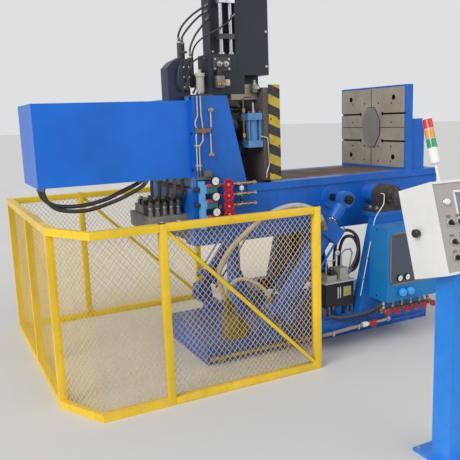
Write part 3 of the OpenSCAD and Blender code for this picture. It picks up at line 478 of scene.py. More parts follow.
# %% Give each part its finish
finish_of = {
    frame_blue: ["base_frame", "base_outrigger", "bed_girder_front", "bed_girder_rear", "bed_crossbeams",
                 "cheek_front", "cheek_rear", "fixed_platen", "platen_buttress", "cylinder_lugs",
                 "tilt_barrel_front", "tilt_barrel_rear"],
    stand_blue: ["stand_front", "stand_rear"],
    cover_blue: ["cylinder_cover"],
    bright_blue: ["rest_post", "console_stand"],
    pale_blue: ["side_cylinder", "rear_platen"],
    cabinet_blue: ["cabinet", "cabinet_door"],
    guard_yellow: ["fence_front_frame", "fence_corner_frame", "fence_left_frame", "fence_rear_frame"],
    mesh_yellow: ["fence_front_mesh", "fence_corner_mesh", "fence_left_mesh", "fence_rear_mesh"],
    charcoal: ["core_tower", "core_base"],
    navy: ["head_tank"],
    unit_paint: ["hydraulic_unit"],
    ivory: ["console_box"],
    panel_grey: ["console_panel"],
    white_plastic: ["signal_tower"],
    wheel_red: ["manifold_wheels"],
    valve_paint: ["cabinet_valves"],
    manifold_paint: ["water_manifold"],
    plate_steel: ["fixed_face", "moving_face"],
    arm_steel: ["core_arm"],
    insert_steel: ["hex_insert"],
    deck_steel: ["bed_deck"],
    platen_brown: ["moving_platen"],
    housing_iron: ["bearing_front", "bearing_rear"],
    machine_iron: ["core_carriage", "head_valves"],
    valve_grey: ["valve_cluster"],
    block_iron: ["pump_block"],
    dark_steel: ["trunnions", "clamp_barrel"],
    chrome: ["guide_rods", "clamp_rod", "core_columns"],
    eye_paint: ["tilt_rod_front", "tilt_rod_rear"],
    tube_paint: ["lube_tubes"],
    hazard_paint: ["hazard_guard"],
}
for finish, names in finish_of.items():
    for name in names:
        nodes[name].data.materials.clear()
        nodes[name].data.materials.append(finish)
bare = sorted(set(nodes) - {name for names in finish_of.values() for name in names})
print("parts finished, left over:", bare)

# %% [markdown]
# ## Modelling helpers
# Every added piece is modelled the way a hand would do it: a primitive, then extrude, inset,
# bevel or bisect in edit mode. `turned` is the lathe of this lesson, for anything round, and
# `plate` the milling machine, for anything flat. `settle` joins the parts of one piece, puts its
# place into its mesh, and says which body it rides on.


# %% Pick, grab and turn
def clear_pick():
    if bpy.context.object and bpy.context.object.mode != "OBJECT":
        bpy.ops.object.mode_set(mode="OBJECT")
    bpy.ops.object.select_all(action="DESELECT")


def only(piece):
    clear_pick()
    piece.select_set(True)
    bpy.context.view_layer.objects.active = piece
    return piece


def grab(kind, **settings):
    clear_pick()
    getattr(bpy.ops.mesh, f"primitive_{kind}_add")(**settings)
    return bpy.context.object


def pick_faces(piece, wanted):
    """In edit mode, picks the faces whose middle and normal pass the test."""
    bpy.ops.mesh.select_all(action="DESELECT")
    shape = bmesh.from_edit_mesh(piece.data)
    for face in shape.faces:
        if wanted(face.calc_center_median(), face.normal):
            face.select_set(True)
    bmesh.update_edit_mesh(piece.data)


def turned(steps, sides=20, smooth=40):
    """A lathe piece along +Z. Each step is (height, radius), from the foot to the tip."""
    height, radius = steps[0]
    piece = grab("circle", vertices=sides, radius=radius, fill_type="NGON", location=(0, 0, height))
    bpy.ops.object.transform_apply(location=True)
    bpy.ops.object.mode_set(mode="EDIT")
    bpy.ops.mesh.select_all(action="SELECT")
    for next_height, next_radius in steps[1:]:
        bpy.ops.mesh.extrude_region_move(TRANSFORM_OT_translate={"value": (0, 0, next_height - height)})
        bpy.ops.transform.resize(value=(next_radius / radius, next_radius / radius, 1),
                                 center_override=(0, 0, 0))
        height, radius = next_height, next_radius
    bpy.ops.mesh.select_all(action="SELECT")
    bpy.ops.mesh.normals_make_consistent(inside=False)
    bpy.ops.object.mode_set(mode="OBJECT")
    bpy.ops.object.shade_smooth_by_angle(angle=math.radians(smooth))
    return piece


def plate(low, high, bevel=0.002, segments=2):
    """A milled block between two corners, with its edges broken by a small bevel."""
    low, high = Vector(low), Vector(high)
    piece = grab("cube", size=1, location=(low + high) / 2, scale=high - low)
    bpy.ops.object.transform_apply(location=True, rotation=True, scale=True)
    bpy.ops.object.mode_set(mode="EDIT")
    bpy.ops.mesh.select_all(action="SELECT")
    bpy.ops.mesh.bevel(offset=bevel, segments=segments, affect="EDGES")
    bpy.ops.object.mode_set(mode="OBJECT")
    bpy.ops.object.shade_smooth_by_angle(angle=math.radians(40))
    return piece


print("lathe and mill ready")


# %% Place, copy, paint and settle
def scaled(size, steps):
    """Steps given in units of the size, as metres."""
    return [(size * height, size * radius) for height, radius in steps]


def aim(piece, at, along=(0, 0, 1), spin=0.0):
    """Stands a piece that was modelled along +Z at a point, looking along a direction."""
    facing = Vector(along).to_track_quat("Z", "Y").to_matrix().to_4x4()
    piece.matrix_world = Matrix.Translation(Vector(at)) @ facing @ Matrix.Rotation(spin, 4, "Z")
    return piece


def painted(piece, finish):
    piece.data.materials.clear()
    piece.data.materials.append(finish)
    return piece


def copies(master, places):
    """Stands the master at the first place and copies of it, each with its own mesh, at the others."""
    row = [master]
    for _ in places[1:]:
        only(master)
        bpy.ops.object.duplicate(linked=False)
        row.append(bpy.context.object)
    for piece, place in zip(row, places):
        aim(piece, *place)
    return row


def settle(name, parts, body):
    """Joins the parts under one name and lets the piece ride on its body."""
    clear_pick()
    for part in parts:
        part.select_set(True)
    bpy.context.view_layer.objects.active = parts[0]
    if len(parts) > 1:
        bpy.ops.object.join()
    piece = bpy.context.object
    bpy.ops.object.transform_apply(location=True, rotation=True, scale=True)
    piece.name = piece.data.name = name
    if body:
        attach(piece, body)
    return piece


print("placing helpers ready")

# %% [markdown]
# ## Tubes and hoses
# A hose is a line with a thickness. The line is drawn through a few chosen points, smoothed so
# that it bends like rubber, or with short arcs at the corners where a steel tube was bent over a
# former. The curve is turned into a mesh, and a hose ends in crimped ferrules.


# %% Draw bent tubes and flowing hoses
def flowing(points, steps=7):
    """A smooth line through the points: a cubic curve between each two of them."""
    knots = [Vector(p) for p in points]
    knots = [2 * knots[0] - knots[1], *knots, 2 * knots[-1] - knots[-2]]
    line = []
    for a, b, c, d in zip(knots, knots[1:], knots[2:], knots[3:]):
        for step in range(steps):
            t = step / steps
            line.append(0.5 * (2 * b + (c - a) * t + (2 * a - 5 * b + 4 * c - d) * t ** 2
                               + (3 * b - a - 3 * c + d) * t ** 3))
    return [*line, knots[-2]]


def line_length(line):
    return sum((b - a).length for a, b in zip(line, line[1:]))


def cornered(points, radius):
    """Straight runs with a short arc at each corner."""
    knots = [Vector(p) for p in points]
    line = [knots[0]]
    for before, corner, after in zip(knots, knots[1:], knots[2:]):
        start_arc = corner + (before - corner).normalized() * radius
        end_arc = corner + (after - corner).normalized() * radius
        for t in (0.0, 0.25, 0.5, 0.75, 1.0):
            line.append(start_arc.lerp(corner, t).lerp(corner.lerp(end_arc, t), t))
    return [*line, knots[-1]]


def drawn(line, diameter, finish, rounds=3):
    curve = bpy.data.curves.new("line", "CURVE")
    curve.dimensions = "3D"
    spline = curve.splines.new("POLY")
    spline.points.add(len(line) - 1)
    for knot, point in zip(spline.points, line):
        knot.co = (*point, 1)
    curve.bevel_depth, curve.bevel_resolution, curve.use_fill_caps = diameter / 2, rounds, True
    piece = bpy.data.objects.new("line", curve)
    bpy.context.collection.objects.link(piece)
    only(piece)
    bpy.ops.object.convert(target="MESH")
    piece = bpy.context.object
    bpy.ops.object.shade_smooth_by_angle(angle=math.radians(60))
    return painted(piece, finish)


def ferrule(line, diameter, tip, finish):
    """The crimped end of a hose: a sleeve with one groove and a hexagon nut."""
    ends = (line[-1], line[-2]) if tip else (line[0], line[1])
    back = (ends[1] - ends[0]).normalized()
    r = diameter / 2
    sleeve = turned([(0, 1.05 * r), (0.3 * r, 1.3 * r), (1.4 * r, 1.3 * r), (1.5 * r, 1.18 * r),
                     (1.7 * r, 1.18 * r), (1.8 * r, 1.3 * r), (3.2 * r, 1.3 * r), (3.5 * r, 1.08 * r)], 16)
    nut = turned([(-0.5 * r, 1.45 * r), (-0.4 * r, 1.6 * r), (0.6 * r, 1.6 * r), (0.7 * r, 1.45 * r)], 6, 20)
    return [painted(aim(part, ends[0], back), finish) for part in (sleeve, nut)]


def hose(name, points, diameter, finish, body, to_body=None, lay="hanging"):
    """A rubber hose with a ferrule at each end. With two bodies, one ferrule rides on each and the hose on
    neither.
    """
    line = flowing(points)
    length = line_length(line)
    piece = drawn(line, diameter, finish)
    settle(name, [piece], None if to_body else body)
    if to_body:
        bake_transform(piece)
    foot = settle(name + "_foot", ferrule(line, diameter, False, dull_steel), body)
    tip = settle(name + "_tip", ferrule(line, diameter, True, dull_steel), to_body or body)
    return round(length, 2)


print("tube and hose helpers ready")

# %% [markdown]
# ## The fence's expanded mesh
# The guard is filled with expanded metal: one sheet, slit and pulled open into diamonds, so it
# has flat knots joined by slanted strands. It could be a picture with holes, but then it would
# have no edge and no shadow. One knot is made from a four-sided prism whose sides are extruded
# halfway to its neighbours, an array repeats it, and each bay is cut from the sheet by bisect.


# %% Model one knot of the mesh
cell_w, cell_h = 0.040, 0.049
knot_w, knot_h, sheet_t = 0.0046, 0.0036, 0.0020
knot = grab("cylinder", vertices=4, radius=0.5, depth=sheet_t, rotation=(math.pi / 2, 0, 0))
bpy.ops.object.transform_apply(rotation=True)
knot.scale = (knot_w, 1, knot_h)
bpy.ops.object.transform_apply(scale=True)
bpy.ops.object.mode_set(mode="EDIT")
for side_x in (-1, 1):
    for side_z in (-1, 1):
        pick_faces(knot, lambda mid, normal: abs(normal.y) < 0.5 and mid.x * side_x > 0 and mid.z * side_z > 0
                   and mid.length < knot_w)
        reach = (side_x * (cell_w - knot_w) / 4, 0, side_z * (cell_h - knot_h) / 4)
        bpy.ops.mesh.extrude_region_move(TRANSFORM_OT_translate={"value": reach})
        bpy.ops.mesh.delete(type="FACE")
bpy.ops.object.mode_set(mode="OBJECT")
print("one knot has", len(knot.data.polygons), "faces")

# %% Repeat the knot into a sheet
bay_low, bay_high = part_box("fence_front_mesh")
sheet_l, sheet_h = bay_high[0] - bay_low[0], bay_high[2] - bay_low[2]
only(knot)
bpy.ops.object.duplicate(linked=False)
between = bpy.context.object
between.location = (cell_w / 2, 0, cell_h / 2)
clear_pick()
knot.select_set(True)
between.select_set(True)
bpy.context.view_layer.objects.active = knot
bpy.ops.object.join()
for count, step in ((int(sheet_l / cell_w) + 2, (cell_w, 0, 0)), (int(sheet_h / cell_h) + 2, (0, 0, cell_h))):
    rows = knot.modifiers.new("rows", "ARRAY")
    rows.count, rows.use_relative_offset, rows.use_constant_offset = count, False, True
    rows.constant_offset_displace = step
    bpy.ops.object.modifier_apply(modifier="rows")
bpy.ops.object.mode_set(mode="EDIT")
bpy.ops.mesh.select_all(action="SELECT")
bpy.ops.mesh.remove_doubles(threshold=0.0003)
bpy.ops.mesh.normals_make_consistent(inside=False)
bpy.ops.object.mode_set(mode="OBJECT")
painted(knot, mesh_yellow)
print("sheet", round(sheet_l, 3), "by", round(sheet_h, 3), "m has", len(knot.data.polygons), "faces")


# %% Cut the bays out of the sheet
def bay(start_xy, end_xy):
    """A bay of mesh between two upright edges, from above, in metres."""
    length = math.dist(start_xy, end_xy)
    only(knot)
    bpy.ops.object.duplicate(linked=False)
    piece = bpy.context.object
    bpy.ops.object.mode_set(mode="EDIT")
    for place, outward in (((0.004, 0, 0), (-1, 0, 0)), ((length + 0.004, 0, 0), (1, 0, 0)),
                           ((0, 0, 0.004), (0, 0, -1)), ((0, 0, sheet_h + 0.004), (0, 0, 1))):
        bpy.ops.mesh.select_all(action="SELECT")
        bpy.ops.mesh.bisect(plane_co=place, plane_no=outward, clear_outer=True, use_fill=True)
    bpy.ops.object.mode_set(mode="OBJECT")
    angle = math.atan2(end_xy[1] - start_xy[1], end_xy[0] - start_xy[0])
    piece.matrix_world = (Matrix.Translation((*start_xy, bay_low[2] - 0.004))
                          @ Matrix.Rotation(angle, 4, "Z") @ Matrix.Translation((-0.004, 0, 0)))
    return piece


post = 0.050
front_y = (bay_low[1] + bay_high[1]) / 2
corner_low, corner_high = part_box("fence_corner_mesh")
left_low, left_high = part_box("fence_left_mesh")
rear_low, rear_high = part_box("fence_rear_mesh")
left_x, rear_y = (left_low[0] + left_high[0]) / 2, (rear_low[1] + rear_high[1]) / 2
left_mid, rear_mid = 0.250, -2.040
bend_x = -2.459
bays = {"fence_front_mesh": [((bay_low[0], front_y), (bay_high[0], front_y))],
        "fence_corner_mesh": [((bend_x, front_y), (corner_high[0], front_y)),
                              ((corner_low[0] + 0.003, -0.574), (bend_x, front_y))],
        "fence_left_mesh": [((left_x, left_low[1]), (left_x, left_mid)),
                            ((left_x, left_mid + post), (left_x, left_high[1]))],
        "fence_rear_mesh": [((rear_low[0] - post, rear_y), (rear_mid, rear_y)),
                            ((rear_mid + post, rear_y), (rear_high[0], rear_y))]}
for name, runs in bays.items():
    sheet = settle(name.replace("mesh", "lattice"), [bay(*run) for run in runs], "base")
    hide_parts(name)
    print(name, "lattice of", len(sheet.data.polygons), "faces")
only(knot)
bpy.ops.object.delete()

# %% [markdown]
# ## Two bays with a brace
# The front bay and the long rear bay are stiffened by a slanting angle iron that is only half as
# wide as the posts. The frame carries it as a plain wide bar, so these two bays are built again
# from square tubes and one thin angle each, with their corners broken like welded tube.


# %% Build the braced bays
def angle_iron(foot, head):
    """An angle iron from one point to another, in a plane of constant y, with its rib on top."""
    half, wide = (head - foot).length / 2, 0.028
    slope = math.atan2(head.z - foot.z, foot.x - head.x)
    flat = plate((-half, -0.014, -wide / 2), (half, -0.010, wide / 2), 0.001, 1)
    rib = plate((-half, -0.014, wide / 2 - 0.004), (half, 0.012, wide / 2), 0.001, 1)
    for leg in (flat, rib):
        leg.matrix_world = Matrix.Translation((foot + head) / 2) @ Matrix.Rotation(slope, 4, "Y")
    return [flat, rib]


def braced(name, node, posts, ends, y, fence_h):
    """Posts at the given x, rails between the ends, and an angle iron across the last bay."""
    near, far = y - post / 2, y + post / 2
    parts = [plate((x, near, 0), (x + post, far, fence_h), 0.003) for x in posts]
    for z in (0.0, fence_h - post):
        parts.append(plate((ends[0], near + 0.001, z), (ends[1], far - 0.001, z + post), 0.003))
    foot = Vector((posts[-1], y, post))
    head = Vector((posts[-2] + post, y, fence_h - post))
    parts += angle_iron(foot, head)
    piece = settle(name, [painted(part, guard_yellow) for part in parts], "base")
    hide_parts(node)
    return piece


front_low, front_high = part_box("fence_front_frame")
back_low, back_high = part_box("fence_rear_frame")
braced("fence_front_bars", "fence_front_frame", (front_low[0], front_high[0] - post),
       (front_low[0], front_high[0]), (front_low[1] + front_high[1]) / 2, front_high[2])
braced("fence_rear_bars", "fence_rear_frame", (rear_mid, back_high[0] - post),
       (back_low[0], back_high[0]), (back_low[1] + back_high[1]) / 2, back_high[2])
print("braced bays", round(front_high[0] - front_low[0], 3), "and", round(back_high[0] - rear_mid, 3),
      "m long")

# %% [markdown]
# ## Bolts, screws and nuts
# A machine is read by its fasteners. Three are enough: a hexagon bolt on a washer, a socket
# screw with its deep hole, and a nut on a thread end. Each is turned once at its size, then
# copied where the real machine is bolted, and the copies on one body become one piece.


# %% Make the fasteners
def joined(parts, finish):
    """Paints the parts and joins them into the last of them."""
    clear_pick()
    for part in parts:
        painted(part, finish)
        part.select_set(True)
    bpy.context.view_layer.objects.active = parts[-1]
    bpy.ops.object.join()
    return parts[-1]


def hex_bolt(size):
    washer = turned(scaled(size, [(0, 1.05), (0.16, 1.05), (0.2, 0.98)]), 20)
    head = turned(scaled(size, [(0.18, 0.86), (0.24, 0.92), (0.72, 0.92), (0.86, 0.78)]), 6, 20)
    return joined([washer, head], zinc)


def socket_screw(size, finish=black_steel):
    head = turned(scaled(size, [(0, 1), (0.75, 1), (0.9, 0.85), (0.9, 0.5), (0.4, 0.48)]), 18)
    return painted(head, finish)


def tie_nut(size):
    nut = turned(scaled(size, [(0, 0.95), (0.06, 1.05), (0.85, 1.05), (0.92, 0.95)]), 6, 20)
    stud = turned(scaled(size, [(0.8, 0.5), (1.4, 0.5), (1.5, 0.42)]), 12)
    return joined([stud, nut], dark_steel)


print("three fasteners ready")

# %% Bolt the bearings and the stands
front, upward, downward = (0, -1, 0), (0, 0, 1), (0, 0, -1)
leftward, rightward = (-1, 0, 0), (1, 0, 0)
both_sides = ((-1, "front"), (1, "rear"))
axis_z, cap_y, cap_ring = 1.180, 0.745, 0.062
cap_angles = [math.radians(degrees) for degrees in range(30, 390, 60)]
ring = [(cap_ring * math.cos(a), axis_z + cap_ring * math.sin(a)) for a in cap_angles]
cap_places = [((x, side * cap_y, z), (0, side, 0)) for side in (-1, 1) for x, z in ring]
settle("bearing_cap_screws", copies(socket_screw(0.009, dark_steel), cap_places), "base")
foot_drop, foot_t, foot_x = 0.120, 0.028, 0.128
foot_spots = [(x, side * y) for side in (-1, 1) for x in (-foot_x, foot_x) for y in (0.600, 0.680)]
foot_places = [((x, y, axis_z - foot_drop + foot_t), upward) for x, y in foot_spots]
settle("bearing_foot_bolts", copies(hex_bolt(0.017), foot_places), "base")
beam_top, stand_foot_t, stand_y = 0.270, 0.016, 0.685
stand_spots = [(x, side * stand_y) for side in (-1, 1) for x in (-0.27, -0.14, 0.14, 0.27)]
stand_places = [((x, y, beam_top + stand_foot_t), upward) for x, y in stand_spots]
settle("stand_foot_bolts", copies(hex_bolt(0.016), stand_places), "base")
print("bolts on the stands:", len(cap_places) + len(foot_places) + len(stand_places))

# %% [markdown]
# ## Bearing ends
# The end cap of a bearing carries a cover disc, and a thin white grease tube runs from the
# housing down the edge of the stand, held by small clips. The tube is bent steel, so it is
# drawn with short arcs at its corners.

# %% Grease the bearings
disc_steps = [(0, 0.044), (0.003, 0.048), (0.006, 0.048), (0.009, 0.040), (0.009, 0.022), (0.013, 0.020),
              (0.015, 0.014)]
for side, where_name in both_sides:
    disc = painted(turned(disc_steps, 32), machine_iron)
    aim(disc, (0, side * (cap_y + 0.018), axis_z), (0, side, 0))
    settle(f"bearing_disc_{where_name}", [disc], "base")
tube_y, tube_top = -0.7335, 1.205
grease_line = cornered([(-0.098, -0.690, tube_top), (-0.098, tube_y, tube_top), (-0.104, tube_y, 1.125),
                        (-0.160, tube_y, 1.062), (-0.180, tube_y, 1.040), (-0.197, tube_y, 1.000),
                        (-0.330, tube_y, 0.420)], 0.018)
grease_tube = drawn(grease_line, 0.0068, white_plastic, 2)
tube_clip = painted(plate((-0.012, -0.006, 0), (0.012, 0.006, 0.012), 0.001), zinc)
clip_spots = ((-0.222, 0.893), (-0.262, 0.718), (-0.300, 0.551))
clips = copies(tube_clip, [((x, -0.725, z), front) for x, z in clip_spots])
settle("grease_tube", [grease_tube, *clips], "base")
print("grease tube of", round(line_length(grease_line), 2), "m")

# %% [markdown]
# ## Tilt cylinders
# Each cylinder is held together by four tie rods with nuts at both heads, takes oil through a
# port block on each head, and has a scraper ring where the rod comes out. All of that follows the
# barrel, so it is placed in the barrel's own slanted axes.

# %% Measure the tilt cylinders
base_pin = Vector((-1.095, 0.0, 0.280))
lean = math.atan2(rod_pin.x - base_pin.x, rod_pin.z - base_pin.z)
cylinder_y, pin_end_y, keeper_y = 0.620, 0.673, 0.7055
foot_z, head_end, seat_gap = 0.095, 0.9164, 0.0005
tie_offset, port_heights, port_half = 0.076, (0.130, 0.856), 0.024
sleeve_lift, keeper_rise, keeper_screw_x = 0.040, 0.030, 0.036
tie_spots = [(x, y) for x in (-tie_offset, tie_offset) for y in (-tie_offset, tie_offset)]
scraper_steps = [(0, 0.062), (0.004, 0.064), (0.020, 0.064), (0.026, 0.056), (0.030, 0.044), (0.034, 0.038)]
pin_cap_steps = [(0, 0.033), (0.004, 0.035), (0.009, 0.035), (0.012, 0.031), (0.012, 0.012), (0.020, 0.010),
                 (0.026, 0.005)]
sleeve_steps = [(0, 0.0375), (0.004, 0.0420), (0.052, 0.0420), (0.075, 0.0475), (0.120, 0.0475),
                (0.128, 0.0400)]
print("lean of the cylinders", round(math.degrees(lean), 1), "degrees")


# %% Dress them
def dress_barrel(where_name, barrel, up_rod, down_rod):
    """Tie-rod nuts at both heads, the scraper ring and two port blocks."""
    body = f"{where_name}_tilt_barrel"
    spots = [(barrel @ Vector((x, y, head_end + seat_gap)), up_rod) for x, y in tie_spots]
    spots += [(barrel @ Vector((x, y, foot_z - seat_gap)), down_rod) for x, y in tie_spots]
    settle(f"tilt_nuts_{where_name}", copies(tie_nut(0.015), spots), body)
    scraper = painted(turned(scraper_steps, 32), dark_steel)
    aim(scraper, barrel @ Vector((0, 0, head_end)), up_rod)
    ports = [plate((-0.112, -port_half, z - port_half), (-0.088, port_half, z + port_half), 0.003)
             for z in port_heights]
    for port in ports:
        painted(port, pale_blue).matrix_world = barrel
    settle(f"tilt_fittings_{where_name}", [scraper, *ports], body)


def dress_pins(side, where_name, barrel, up_rod):
    """The cap on the rod's pin, the sleeve behind its eye, and the keeper of the base pin."""
    pin_cap = painted(turned(pin_cap_steps, 28), black_steel)
    aim(pin_cap, (rod_pin.x, side * pin_end_y, rod_pin.z), (0, side, 0))
    settle(f"rod_pin_cap_{where_name}", [pin_cap], f"{where_name}_tilt_rod")
    sleeve = painted(turned(sleeve_steps, 28), frame_blue)
    aim(sleeve, barrel @ Vector((0, 0, head_end + sleeve_lift)), up_rod)
    settle(f"rod_clevis_{where_name}", [sleeve], f"{where_name}_tilt_rod")
    keeper = painted(plate((-0.050, -0.004, -0.012), (0.050, 0.004, 0.012), 0.002), dark_steel)
    keeper.location = (base_pin.x, side * keeper_y, base_pin.z + keeper_rise)
    places = [((base_pin.x + x, side * (keeper_y + 0.004), base_pin.z + keeper_rise), (0, side, 0))
              for x in (-keeper_screw_x, keeper_screw_x)]
    settle(f"base_pin_keeper_{where_name}", [keeper, *copies(hex_bolt(0.009), places)], "base")


for side, where_name in both_sides:
    barrel = Matrix.Translation((base_pin.x, side * cylinder_y, base_pin.z)) @ Matrix.Rotation(lean, 4, "Y")
    up_rod, down_rod = barrel.to_3x3() @ Vector(upward), barrel.to_3x3() @ Vector(downward)
    dress_barrel(where_name, barrel, up_rod, down_rod)
    dress_pins(side, where_name, barrel, up_rod)
print("dressed the", " and ".join(where_name for _, where_name in both_sides), "tilt cylinders")

# %% [markdown]
# ## Pressure gauges
# The water manifold, the air cabinet and the power unit all have small round gauges: a black
# case with a rolled rim, a white dial with a ring of ticks, and a needle. One function models
# them facing up, and only the size and the needle's angle tell them apart.


# %% Model a gauge
def gauge(size, needle_turn):
    """A gauge of that radius, modelled facing +Z with its dial near z = 0."""
    case_steps = [(-0.75, 0.30), (-0.70, 0.92), (-0.06, 0.96), (0.10, 1.04), (0.18, 1.02), (0.18, 0.88),
                  (0.05, 0.86)]
    case = painted(turned(scaled(size, case_steps), 32), black_steel)
    dial = painted(turned(scaled(size, [(0.04, 0.87), (0.075, 0.86)]), 32), dial_white)
    parts = [case, dial]
    for step in range(11):
        angle = math.radians(225 - 27 * step)
        long = 0.16 if step % 5 == 0 else 0.10
        tick = plate((-0.012 * size, 0, 0), (0.012 * size, long * size, 0.012 * size), 0.002 * size, 1)
        place = size * Vector((0.62 * math.cos(angle), 0.62 * math.sin(angle), 0.074))
        parts.append(aim(painted(tick, ink), place, upward, angle - math.pi / 2))
    needle = plate((-0.030 * size, -0.20 * size, 0), (0.030 * size, 0.60 * size, 0.02 * size), 0.006 * size,
                   1)
    parts.append(aim(painted(needle, ink), (0, 0, 0.085 * size), upward, needle_turn))
    hub = painted(turned(scaled(size, [(0.080, 0.10), (0.125, 0.08)]), 14), black_steel)
    return settle("gauge", [*parts, hub], None)


print("gauge ready")

# %% Fit the manifold's gauges
gauge_x, gauge_y, row_y = -1.455, -0.533, -0.476
dials = [aim(gauge(0.033, spin), (gauge_x, gauge_y, z), front) for spin,
         z in zip((0.6, -0.5, 0.9), manifold_rows)]
settle("manifold_gauges", dials, "bed")
print("gauges on the manifold:", len(dials))

# %% Model a hand wheel's rim and copy it
wheel_x, wheel_r, wheel_heights = -1.348, 0.037, (1.146, 1.205, 1.282, 1.359)
wheel_rim = grab("torus", major_radius=wheel_r, minor_radius=0.0050, major_segments=40, minor_segments=10)
bpy.ops.object.shade_smooth()
bpy.ops.object.mode_set(mode="EDIT")
for finger in range(8):
    turn_by = math.radians(45 * finger)
    spot = wheel_r * Vector((math.cos(turn_by), math.sin(turn_by), 0))
    pick_faces(wheel_rim, lambda mid, normal: (mid - spot).length < 0.008 and normal.dot(spot) > 0.010)
    bpy.ops.transform.shrink_fatten(value=0.0022)
bpy.ops.object.mode_set(mode="OBJECT")
rim_places = [((wheel_x, row_y - 0.046, z), front) for z in wheel_heights]
settle("manifold_rims", copies(painted(wheel_rim, wheel_red), rim_places), "bed")
nut_places = [((wheel_x, row_y - 0.048, z), front) for z in wheel_heights]
settle("manifold_wheel_nuts", copies(hex_bolt(0.008), nut_places), "bed")
print("hand wheels on the manifold:", len(rim_places))

# %% [markdown]
# ## Brass and knobs on the manifold
# Each water line runs through hexagon unions, and the upright line that joins them has a white
# and a black ball valve. On the left of the pale block stand black knobs that set the pressure.

# %% Add the unions, valves and knobs
union = turned([(-0.012, 0.0125), (-0.011, 0.0150), (-0.002, 0.0150), (-0.001, 0.0120), (0.001, 0.0120),
                (0.002, 0.0150), (0.011, 0.0150), (0.012, 0.0125)], 6, 20)
union_places = [((x, row_y, z), rightward) for z in wheel_heights[1:] for x in (-1.400, -1.246, -1.112)]
settle("manifold_unions", copies(painted(union, zinc), union_places), "bed")
ball_valve = [(-0.018, 0.009), (-0.014, 0.014), (-0.006, 0.017), (0.006, 0.017), (0.014, 0.014),
              (0.018, 0.009)]
valve_x, white_z, black_z = -1.219, 1.322, 1.244
white_valve = aim(painted(turned(ball_valve, 20), white_plastic), (valve_x, row_y, white_z), upward)
black_valve = aim(painted(turned(ball_valve, 20), black_plastic), (valve_x, row_y, black_z), upward)
settle("manifold_valves", [white_valve, black_valve], "bed")
pressure_knob = turned([(0, 0.010), (0.012, 0.010), (0.013, 0.019), (0.036, 0.017), (0.040, 0.014)], 16)
knob_places = [((manifold_low[0] + 0.001, -0.463, z - 0.058), leftward) for z in manifold_rows]
settle("manifold_knobs", copies(painted(pressure_knob, black_plastic), knob_places), "bed")
tube_end = turned([(0, 0.014), (0.004, 0.0155), (0.012, 0.0155), (0.016, 0.009), (0.020, 0.008)], 6, 20)
cheek_face_y = -0.4615
tube_end_places = [((x, cheek_face_y, z), front) for x, z in ((-1.434, 1.890), (-1.440, 1.577))]
settle("cheek_fittings", copies(painted(tube_end, brass), tube_end_places), "bed")
print("unions fitted:", len(union_places))

# %% [markdown]
# ## Screws on the cheeks and in the faces
# Three dark socket screws hold each cheek's narrow end, and a large one sits deep in each corner
# bore of the two slotted faces. A dark joint runs around the insert.

# %% Screw the cheeks and the faces
cheek_end_x, cheek_y = -1.5655, 0.408
cheek_screws = [((cheek_end_x, side * cheek_y, z), leftward) for side in (-1, 1)
                for z in (1.975, 1.730, 1.475)]
settle("cheek_screws", copies(socket_screw(0.0085), cheek_screws), "bed")
platen_mid, bore_y, bore_rise, bore_depth = 1.702, 0.290, 0.255, 0.030
corner_bores = [(side * bore_y, platen_mid + over * bore_rise) for side in (-1, 1) for over in (-1, 1)]
fixed_places = [((face_low[0] + bore_depth, y, z), leftward) for y, z in corner_bores]
settle("fixed_face_screws", copies(socket_screw(0.0195), fixed_places), "bed")
moving_places = [((moving_high[0] - bore_depth, y, z), rightward) for y, z in corner_bores]
settle("moving_face_screws", copies(socket_screw(0.0195), moving_places), "moving_platen_group")
print("screws on cheeks and faces:", len(cheek_screws) + len(fixed_places) + len(moving_places))

# %% Draw the insert's joint
insert_w, insert_h = 0.118, 0.175
short_w, short_h = 0.42 * insert_w, 0.35 * insert_h
corners = [(-short_w, -insert_h), (short_w, -insert_h), (insert_w, -short_h), (insert_w, short_h),
           (short_w, insert_h), (-short_w, insert_h), (-insert_w, short_h), (-insert_w, -short_h)]
joint_line = [Vector((face_low[0] - 0.0004, y, platen_mid + z)) for y, z in (*corners, *corners[:2])]
settle("insert_joint", [drawn(joint_line, 0.0066, ink, 2)], "bed")
print("joint of", round(line_length(joint_line), 2), "m round the insert")

# %% [markdown]
# ## Rings on the rods
# Where the guide rods and the clamp rod pass through the rear platen, each has a wiper ring, and
# the clamp rod's is a bolted flange. On the moving platen's back the rods end in nuts and a hub.
# They are turned once and copied.

# %% Fit the rings and nuts
clamp_z, guide_y, guide_rise = 1.730, 0.110, 0.165
rear_platen_x, moving_platen_x = -1.4849, -1.0003
guides = [(side * guide_y, clamp_z + over * guide_rise) for side in (-1, 1) for over in (-1, 1)]
wiper = turned([(0, 0.040), (0.002, 0.043), (0.012, 0.043), (0.015, 0.036), (0.020, 0.030), (0.021, 0.0255)],
               28)
wiper_places = [((rear_platen_x, y, z), rightward) for y, z in guides]
settle("rod_wipers", copies(painted(wiper, dark_steel), wiper_places), "bed")
flange_steps = [(0, 0.084), (0.003, 0.088), (0.016, 0.088), (0.019, 0.080), (0.024, 0.060), (0.026, 0.0455)]
flange = aim(painted(turned(flange_steps, 36), dark_steel), (rear_platen_x, 0, clamp_z), rightward)
flange_ring, flange_face_x = 0.072, -1.469
bolt_angles = [math.radians(60 * step) for step in range(6)]
bolt_ring = [(flange_ring * math.cos(a), clamp_z + flange_ring * math.sin(a)) for a in bolt_angles]
flange_bolts = copies(hex_bolt(0.008), [((flange_face_x, y, z), rightward) for y, z in bolt_ring])
settle("clamp_rod_flange", [flange, *flange_bolts], "bed")
hub_steps = [(0, 0.088), (0.018, 0.088), (0.022, 0.080), (0.030, 0.064), (0.034, 0.0455)]
rod_hub = aim(painted(turned(hub_steps, 36), dark_steel), (moving_platen_x, 0, clamp_z), leftward)
